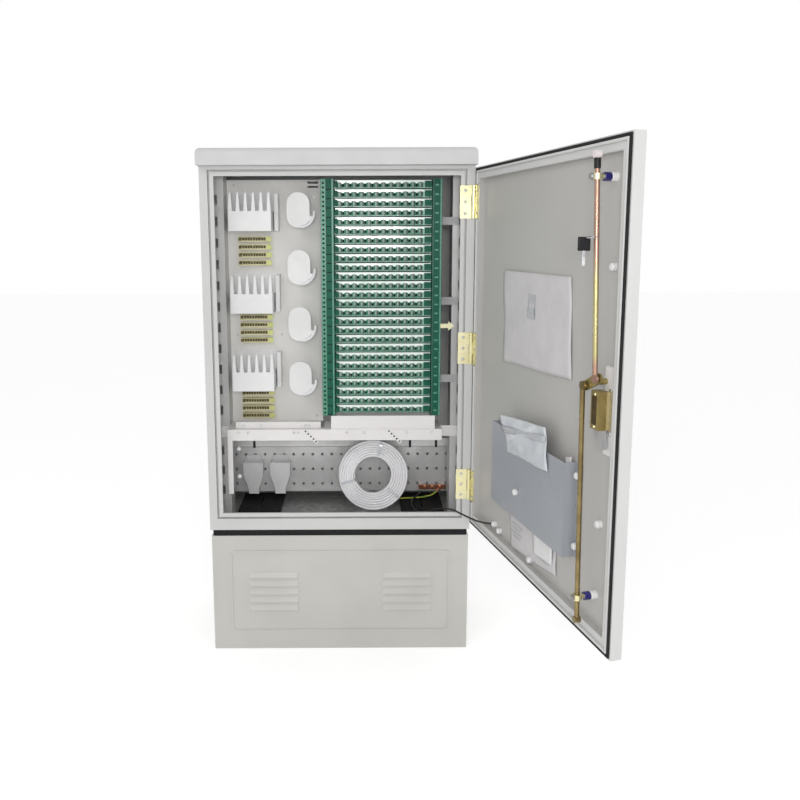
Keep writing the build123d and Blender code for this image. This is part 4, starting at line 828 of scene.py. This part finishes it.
def make_rack_trim():
    """Perforated edge strip with black dots of painted shade for its holes, lips, and channels painted
    darker as shade beside the tray stack, with a tab and a black slot of painted shade at each tray.
    """
    low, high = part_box("rack_frame")
    strip, dots, channel = bmesh.new(), bmesh.new(), bmesh.new()
    end_gap, face = 0.001, front + 0.052
    top, bottom = high.z - end_gap, low.z + end_gap
    middle, tall = (top + bottom) / 2, top - bottom
    edge_x, left_channel_x, left_lip_x = -0.0405, -0.0255, -0.0155
    right_channel_x, right_lip_x = 0.2725, 0.2835
    for shape, x, proud, wide, deep in (
        (strip, edge_x, 0.0006, 0.0125, 0.0010),
        (strip, left_lip_x, 0.0012, 0.0040, 0.0024),
        (channel, left_channel_x, 0.0008, 0.0150, 0.0014),
        (channel, right_channel_x, 0.0008, 0.0160, 0.0014),
        (strip, right_lip_x, 0.0010, 0.0040, 0.0020),
    ):
        add_box(shape, (x, face - proud, middle), (wide, deep, tall))
    dot_radius, dot_offset, slot_drop = 0.0032, 0.006, 0.011
    for node in tray_nodes:
        tray_low, tray_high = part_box(node)
        level = (tray_low.z + tray_high.z) / 2
        for z in (level - dot_offset, level + dot_offset):
            add_round(dots, (edge_x, face - 0.0008, z), (edge_x, face - 0.0014, z), dot_radius, segments=12)
        add_box(dots, (left_channel_x, face - 0.0018, level - slot_drop), (0.015, 0.001, 0.0025))
        add_box(strip, (right_channel_x, face - 0.0026, level), (0.0095, 0.003, 0.0045))
    make_piece("rack_strips", strip, mid_green)
    # Painted shade in the strip's perforations and the channel's slots
    make_piece("rack_dots", dots, hole_shade)
    # Channels darkened as painted shade
    make_piece("rack_channels", channel, dark_green_and_channel_shade)


# Fibre plate
def make_holder_marks():
    """Green tabs, and dark marks of painted shade for the pockets on the parking strips, four strips in
    each of three groups.
    """
    tabs, marks = bmesh.new(), bmesh.new()
    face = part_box("parking_holders")[0].y
    strip_drop, strip_pitch, pocket_count, pocket_pitch = 0.0075, 0.0225, 9, 0.0076
    tab_x, wide_mark_x, pocket_x = -0.2005, -0.2835, -0.2740
    for top in (1.190, 0.965, 0.740):
        for strip in range(4):
            z = top - strip_drop - strip * strip_pitch
            add_box(tabs, (tab_x, face - 0.0004, z), (0.013, 0.001, 0.0125))
            add_box(marks, (wide_mark_x, face - 0.0005, z), (0.0085, 0.001, 0.009))
            for pocket in range(pocket_count):
                x = pocket_x + pocket * pocket_pitch
                add_box(marks, (x, face - 0.0005, z), (0.0060, 0.001, 0.0075))
    make_piece("holder_tabs", tabs, tab_green, bevel=0.0003)
    # Painted shade in the pockets
    make_piece("holder_marks", marks, pocket_shade)


def make_comb_flanges():
    """Side flange at the right end of each comb."""
    flanges = bmesh.new()
    wide, deep, tall = 0.013, 0.034, 0.106
    comb_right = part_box("fibre_combs")[1].x
    for bottom in (1.205, 0.975, 0.752):
        centre = (comb_right - wide / 2, plate_face - deep / 2 - 0.002, bottom + tall / 2)
        add_box(flanges, centre, (wide, deep, tall))
    make_piece("comb_flanges", flanges, white_plastic, bevel=0.002)


def make_bobbin_guards():
    """Round guard rail at the lower right of each storage bobbin."""
    guards = bmesh.new()
    centre_x, centre_drop, stand_off = -0.1060, 0.008, 0.084
    reach, bar_radius, steps, first, sweep = 0.039, 0.0045, 12, -88, 95
    for level in (1.263, 1.103, 0.942, 0.785):
        points = []
        for step in range(steps + 1):
            angle = radians(first + sweep * step / steps)
            x, z = centre_x + reach * cos(angle), level - centre_drop + reach * sin(angle)
            points.append((x, front + stand_off, z))
        for start, end in zip(points, points[1:]):
            add_round(guards, start, end, bar_radius, segments=10)
    make_piece("bobbin_guards", guards, white_plastic)


def make_plate_screws():
    screws = bmesh.new()
    radius, height = 0.0032, 0.0018
    for x, z in (
        (-0.300, 1.335), (-0.180, 1.335), (-0.070, 1.30),
        (-0.300, 0.905), (-0.170, 0.905), (-0.235, 0.660), (-0.070, 0.660),
    ):
        add_round(screws, (x, plate_face, z), (x, plate_face - height, z), radius, segments=14)
    make_piece("plate_screws", screws, grey_steel)


# Beam and cable room
beam_face = front + 0.045


def make_beam_ledge():
    """Upper tier of the beam, left of the trays, as an angle."""
    ledge = bmesh.new()
    centre_x, long, sheet = -0.1765, 0.245, 0.0016
    add_box(ledge, (centre_x, front + 0.062, 0.6535), (long, sheet, 0.0185))
    add_box(ledge, (centre_x, front + 0.070, 0.6620), (long, 0.0176, sheet))
    make_piece("beam_ledge", ledge, white_steel, bevel=0.0005)


def make_beam_screws():
    """Screw heads along the beam and on its upper tier."""
    screws = bmesh.new()
    beam_row = (-0.288, -0.262, -0.130, -0.118, 0.020, 0.070, 0.190, 0.262)
    tier_row = (-0.276, -0.226, -0.098, -0.088)
    for row, face, level, head, radius in (
        (beam_row, beam_face, 0.635, 0.0022, 0.0036),
        (tier_row, front + 0.0612, 0.6525, 0.0016, 0.0034),
    ):
        for x in row:
            add_round(screws, (x, face, level), (x, face - head, level), radius, segments=14)
    make_piece("beam_screws", screws, bright_steel)


def make_strap_holes():
    """Five holes down the slope of each strap, as black discs of painted shade."""
    holes = bmesh.new()
    level, pitch, radius = 0.624, 0.0075, 0.0024
    for strap_x in (-0.082, 0.156):
        for step in range(-2, 3):
            x, z = strap_x + step * pitch, level - step * pitch
            add_round(holes, (x, beam_face - 0.0015, z), (x, beam_face - 0.0021, z), radius, segments=12)
    make_piece("strap_holes", holes, hole_shade)


def make_rail_clips():
    clips = bmesh.new()
    for x in (-0.266, 0.212, 0.292):
        add_box(clips, (x, front + 0.199, 0.5635), (0.007, 0.004, 0.032))
    make_piece("rail_clips", clips, black_plastic, bevel=0.0006)


def make_bracket_nuts():
    """Two capped nuts on the drop bracket."""
    nuts = bmesh.new()
    x, seat, top = -0.290, front + 0.060, front + 0.055
    for z in (0.585, 0.503):
        add_round(nuts, (x, seat, z), (x, top, z), 0.0062, segments=6)
        add_dome(nuts, (x, top, z), (0, -1, 0), 0.0048, 0.004)
    make_piece("bracket_nuts", nuts, white_plastic)


def add_hopper(shape, x, y, levels, wall):
    """Open funnel through sections of height, half width and half thickness."""
    inner = [(z, wide - wall, thick - wall) for z, wide, thick in reversed(levels)]
    loops = [
        [shape.verts.new((x + a * wide, y + b * thick, z)) for a, b in ((-1, -1), (1, -1), (1, 1), (-1, 1))]
        for z, wide, thick in list(levels) + inner
    ]
    join_loops(shape, loops, closed=True)


def make_funnels():
    """Break-out funnels on the fixing plate, with the fixing tab above each and a label on its front."""
    shape = bmesh.new()
    back, wall = front + 0.2497, 0.002
    neck, mouth = (0.016, 0.011), (0.031, 0.014)
    levels = ((0.392, *neck), (0.407, *neck), (0.454, *mouth), (0.493, *mouth))
    for x in (-0.2745, -0.191):
        add_hopper(shape, x, back - mouth[1], levels, wall)
        add_box(shape, (x, back - 0.0012, 0.502), (0.046, 0.002, 0.018))
        add_box(shape, (x, back - 0.0262, 0.4725), (0.030, 0.0008, 0.022))
    funnels = make_piece("break_out_funnels", shape, funnel_grey, bevel=0.0012)
    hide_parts("duct_funnels")


# Frame
def make_frame_hinge_screws():
    screws = bmesh.new()
    for level in hinge_levels:
        for offset in hinge_screw_offsets:
            place = Vector((0.342, front - 0.0025, level + offset))
            add_round(screws, place, place + Vector((0, -0.0016, 0)), 0.0042, 0.0026, segments=16)
    make_piece("frame_hinge_screws", screws, bright_steel)


def make_pointer_tag():
    """Yellow tag in the shape of an arrow that points to the middle hinge."""
    tag = bmesh.new()
    left, neck, point = 0.283, 0.305, 0.322
    outline = (
        (left, 0.936), (neck, 0.936), (neck, 0.929), (point, 0.942),
        (neck, 0.955), (neck, 0.948), (left, 0.948),
    )
    near, far = [[tag.verts.new((x, front + y, z)) for x, z in outline] for y in (0.0300, 0.0312)]
    tag.faces.new(near)
    tag.faces.new(list(reversed(far)))
    join_loops(tag, [near, far])
    make_piece("pointer_tag", tag, tag_yellow)


# Door
def curled_sheet(name, corners, stand_off, lift, material, columns=24, rows=24):
    """Thin film on the door between four corners, with soft waves."""
    thickness = 0.0006
    shape = bmesh.new()
    grid = []
    for row in range(rows + 1):
        v = row / rows
        line = []
        for column in range(columns + 1):
            u = column / columns
            top = Vector(corners[0]).lerp(Vector(corners[1]), u)
            bottom = Vector(corners[3]).lerp(Vector(corners[2]), u)
            flat = top.lerp(bottom, v)
            wave = lift * (0.5 + 0.5 * sin(7.0 * u + 3.0 * v) * cos(5.0 * v + 2.0 * u))
            line.append(shape.verts.new(on_door(flat.x, stand_off + wave, flat.y)))
        grid.append(line)
    for one, two in zip(grid, grid[1:]):
        for column in range(columns):
            shape.faces.new((one[column], one[column + 1], two[column + 1], two[column]))
    piece = make_door_piece(name, shape, material)
    thick = piece.modifiers.new("thickness", "SOLIDIFY")
    thick.thickness = thickness
    thick.offset = 0.0


def add_print(shape, along, stand_off, height, wide, tall):
    """Flat bar of print."""
    add_box(shape, on_door(along, stand_off, height), (wide, 0.0004, tall))


def make_drawing_sheet():
    """Drawing sheet: blank stock with four plain grey fields."""
    corners = ((0.1705, 1.1048), (0.5087, 1.1047), (0.5242, 0.8916), (0.1775, 0.8765))
    curled_sheet("drawing_sheet", corners, 0.0012, 0.004, paper)
    fields = bmesh.new()
    for along, height, wide, tall in (
        (0.335, 1.045, 0.030, 0.020),
        (0.335, 1.012, 0.042, 0.026),
        (0.352, 1.030, 0.006, 0.050),
        (0.318, 1.030, 0.003, 0.056),
    ):
        add_print(fields, along, 0.0058, height, wide, tall)
    make_door_piece("drawing_fields", fields, print_grey)


def make_pocket_papers():
    """Pouch with its band in the pocket, card and label under it, and the pocket's bright edge."""
    pouch = ((0.2318, 0.7555), (0.4722, 0.7792), (0.4883, 0.6855), (0.2814, 0.6717))
    card = ((0.2397, 0.5050), (0.4815, 0.5102), (0.4861, 0.4446), (0.2498, 0.4145))
    pocket_edge = ((0.5153, 0.7243), (0.5425, 0.7321), (0.5466, 0.5302), (0.5164, 0.5176))
    pouch_band = ((0.2411, 0.7282), (0.4773, 0.7618), (0.4796, 0.7480), (0.2569, 0.7146))
    label = ((0.3746, 0.5022), (0.4688, 0.5043), (0.4718, 0.4611), (0.3779, 0.4519))
    curled_sheet("pouch", pouch, 0.0295, 0.006, pouch_film)
    curled_sheet("card", card, 0.0012, 0.003, paper)
    curled_sheet("pocket_edge", pocket_edge, 0.0052, 0.0006, white_steel, columns=4, rows=12)
    curled_sheet("pouch_band", pouch_band, 0.0330, 0.003, print_grey, columns=12, rows=6)
    curled_sheet("label", label, 0.0048, 0.001, white_plastic, columns=8, rows=8)


def make_card_lines():
    """Plain grey bars on the label and the card, in place of print."""
    lines = bmesh.new()
    for step in range(9):
        along, height = 0.425 + 0.004 * (step % 2), 0.492 - step * 0.0048
        add_print(lines, along, 0.0048, height, 0.088 - 0.018 * (step % 3), 0.0018)
    for step in range(4):
        add_print(lines, 0.285, 0.0048, 0.484 - step * 0.010, 0.060 - 0.012 * (step % 2), 0.0022)
    make_door_piece("card_lines", lines, print_grey)


def make_rod_guides():
    """Guide at each rod's end: foot, navy collar, clamp round the rod and nut."""
    collars, clamps, feet, nuts = bmesh.new(), bmesh.new(), bmesh.new(), bmesh.new()
    foot_radius, rod_stand_off, rod_hole, clamp_long = 0.0085, 0.040, 0.0054, 0.011
    for along, height in ((0.6592, 1.295), (0.6469, 0.478)):
        for shape, start, end, radius, end_radius, segments in (
            (feet, 0.0, 0.010, 0.0090, foot_radius, 20),
            (collars, 0.013, 0.027, foot_radius, foot_radius, 20),
            (clamps, 0.026, 0.0325, 0.0050, 0.0050, 20),
            (nuts, 0.0485, 0.0545, 0.0062, 0.0062, 6),
        ):
            base, tip = on_door(along, start, height), on_door(along, end, height)
            add_round(shape, base, tip, radius, end_radius, segments)
        add_dome(feet, on_door(along, 0.010, height), (0, -1, 0), foot_radius, 0.005)
        clamp_base = on_door(along, rod_stand_off, height - clamp_long / 2)
        add_ring(clamps, clamp_base, (0, 0, 1), 0.0090, rod_hole, clamp_long)
    white = make_door_piece("guide_feet", feet, white_plastic)
    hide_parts("rod_guides")
    make_door_piece("guide_collars", collars, navy_plastic, bevel=0.001)
    make_door_piece("guide_clamps", clamps, yellow_zinc)
    make_door_piece("guide_nuts", nuts, bright_steel)


def make_lock_backing():
    plate = bmesh.new()
    add_box(plate, on_door(0.678, 0.0026, 0.857), (0.045, 0.0012, 0.170))
    make_door_piece("lock_backing", plate, white_steel, bevel=0.0004)


def make_door_rivets():
    """Rivets of the lock's backing plate and of the door's hinge leaves."""
    rivets = bmesh.new()
    radius = 0.0036
    for along, height in ((0.690, 0.930), (0.690, 0.785), (0.660, 0.785), (0.679, 0.900), (0.679, 0.815)):
        add_dome(rivets, on_door(along, 0.0040, height), (0, -1, 0), radius, 0.0022, segments=14, rings=3)
    for level in hinge_levels:
        for offset in hinge_screw_offsets:
            place = on_door(0.0185, liner_offset - 0.003, level + offset)
            add_dome(rivets, place, (0, -1, 0), radius, 0.0018, segments=14, rings=3)
    make_door_piece("door_rivets", rivets, bright_steel)


def make_lock_face():
    """Dark brown panel painted as the shade in the lock case's recess, its bright edge strip and two
    rivets.
    """
    panel, strip = bmesh.new(), bmesh.new()
    case_middle, case_face = 0.859, 0.0262
    add_box(panel, on_door(0.6575, case_face, case_middle), (0.0165, 0.0008, 0.056))
    # Painted shade in the recess
    make_door_piece("lock_recess", panel, recess_shade_brown, bevel=0.0003)
    add_box(strip, on_door(0.6722, 0.0060, case_middle), (0.0030, 0.0064, 0.0735))
    for height in (0.8275, 0.8905):
        place = on_door(0.6600, case_face + 0.0002, height)
        add_dome(strip, place, (0, -1, 0), 0.0030, 0.0022, segments=14, rings=3)
    make_door_piece("lock_edge", strip, yellow_zinc)


def make_rod_sleeve():
    """Black sleeve near the upper rod's end, which slides with the rod."""
    sleeve = bmesh.new()
    add_round(sleeve, on_door(0.6588, 0.040, 1.309), on_door(0.65776, 0.040, 1.3282), 0.0062)
    make_door_piece("rod_sleeve", sleeve, black_plastic, 0.0008, "upper_rod_body")


def make_gasket_frame(name, inset, wide, deep, material):
    """Frame of bars round the door's inside, open at the hinge leaves."""
    seat, half_notch = 0.014, 0.0455
    shape = bmesh.new()
    start, end, base, top = 0.008 + inset, 0.728 - inset, 0.388 + inset, 1.366 - inset
    level = seat + deep / 2
    for z in (base + wide / 2, top - wide / 2):
        add_box(shape, on_door((start + end) / 2, level, z), (end - start, deep, wide))
    add_box(shape, on_door(end - wide / 2, level, (base + top) / 2), (wide, deep, top - base - 2 * wide))
    cuts = [base + wide]
    for hinge in hinge_levels:
        cuts += [hinge - half_notch, hinge + half_notch]
    cuts.append(top - wide)
    for low, high in zip(cuts[::2], cuts[1::2]):
        add_box(shape, on_door(start + wide / 2, level, (low + high) / 2), (wide, deep, high - low))
    return make_door_piece(name, shape, material, bevel=0.0012)


def make_gasket():
    """Black sealing bead and the pale lip that holds it."""
    bead = make_gasket_frame("gasket_bead", 0.0, 0.0060, 0.0042, black_rubber)
    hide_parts("door_gasket")
    make_gasket_frame("gasket_lip", 0.0066, 0.0056, 0.0052, paint)


def make_key():
    """Key: black moulded bow on a steel blade, both hung on a ring round the upper rod."""
    bow, blade, ring = bmesh.new(), bmesh.new(), bmesh.new()
    ring_radius, ring_tilt, wire_radius, ring_steps = 0.0130, 0.002, 0.0010, 32
    ring_centre = on_door(0.6620, 0.0460, 1.186)
    points = []
    for step in range(ring_steps + 1):
        angle = 2 * pi * step / ring_steps
        offset = Vector((ring_radius * cos(angle), ring_radius * sin(angle), ring_tilt * sin(angle)))
        points.append(ring_centre + offset)
    for start, end in zip(points, points[1:]):
        add_round(ring, start, end, wire_radius, segments=8)
    key_along, key_stand_off, tooth_count, tooth_pitch = 0.6570, 0.0600, 4, 0.0052
    add_box(bow, on_door(key_along, key_stand_off, 1.1735), (0.0050, 0.0250, 0.0260))
    add_box(blade, on_door(key_along, key_stand_off, 1.1470), (0.0019, 0.0066, 0.0290))
    for tooth in range(tooth_count):
        place = on_door(key_along, key_stand_off + 0.0038, 1.1365 + tooth * tooth_pitch)
        add_box(blade, place, (0.0018, 0.0020, 0.0022))
    main = make_door_piece("key_bow", bow, black_plastic, bevel=0.002)
    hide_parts("key")
    make_door_piece("key_blade", blade, bright_steel, bevel=0.0003)
    make_door_piece("key_ring", ring, bright_steel)


make_camera()
make_world()
make_lamps()
make_floor()
make_inner_lead()
make_door_lead()
make_coil()
for node, material in node_finishes.items():
    finish_node(node, material)
for node in tray_nodes:
    make_tray_front(node)
make_rack_trim()
make_holder_marks()
make_comb_flanges()
make_bobbin_guards()
make_plate_screws()
make_beam_ledge()
make_beam_screws()
make_strap_holes()
make_rail_clips()
make_bracket_nuts()
make_funnels()
make_frame_hinge_screws()
make_pointer_tag()
make_drawing_sheet()
make_pocket_papers()
make_card_lines()
make_rod_guides()
make_lock_backing()
make_door_rivets()
make_lock_face()
make_rod_sleeve()
make_gasket()
make_key()
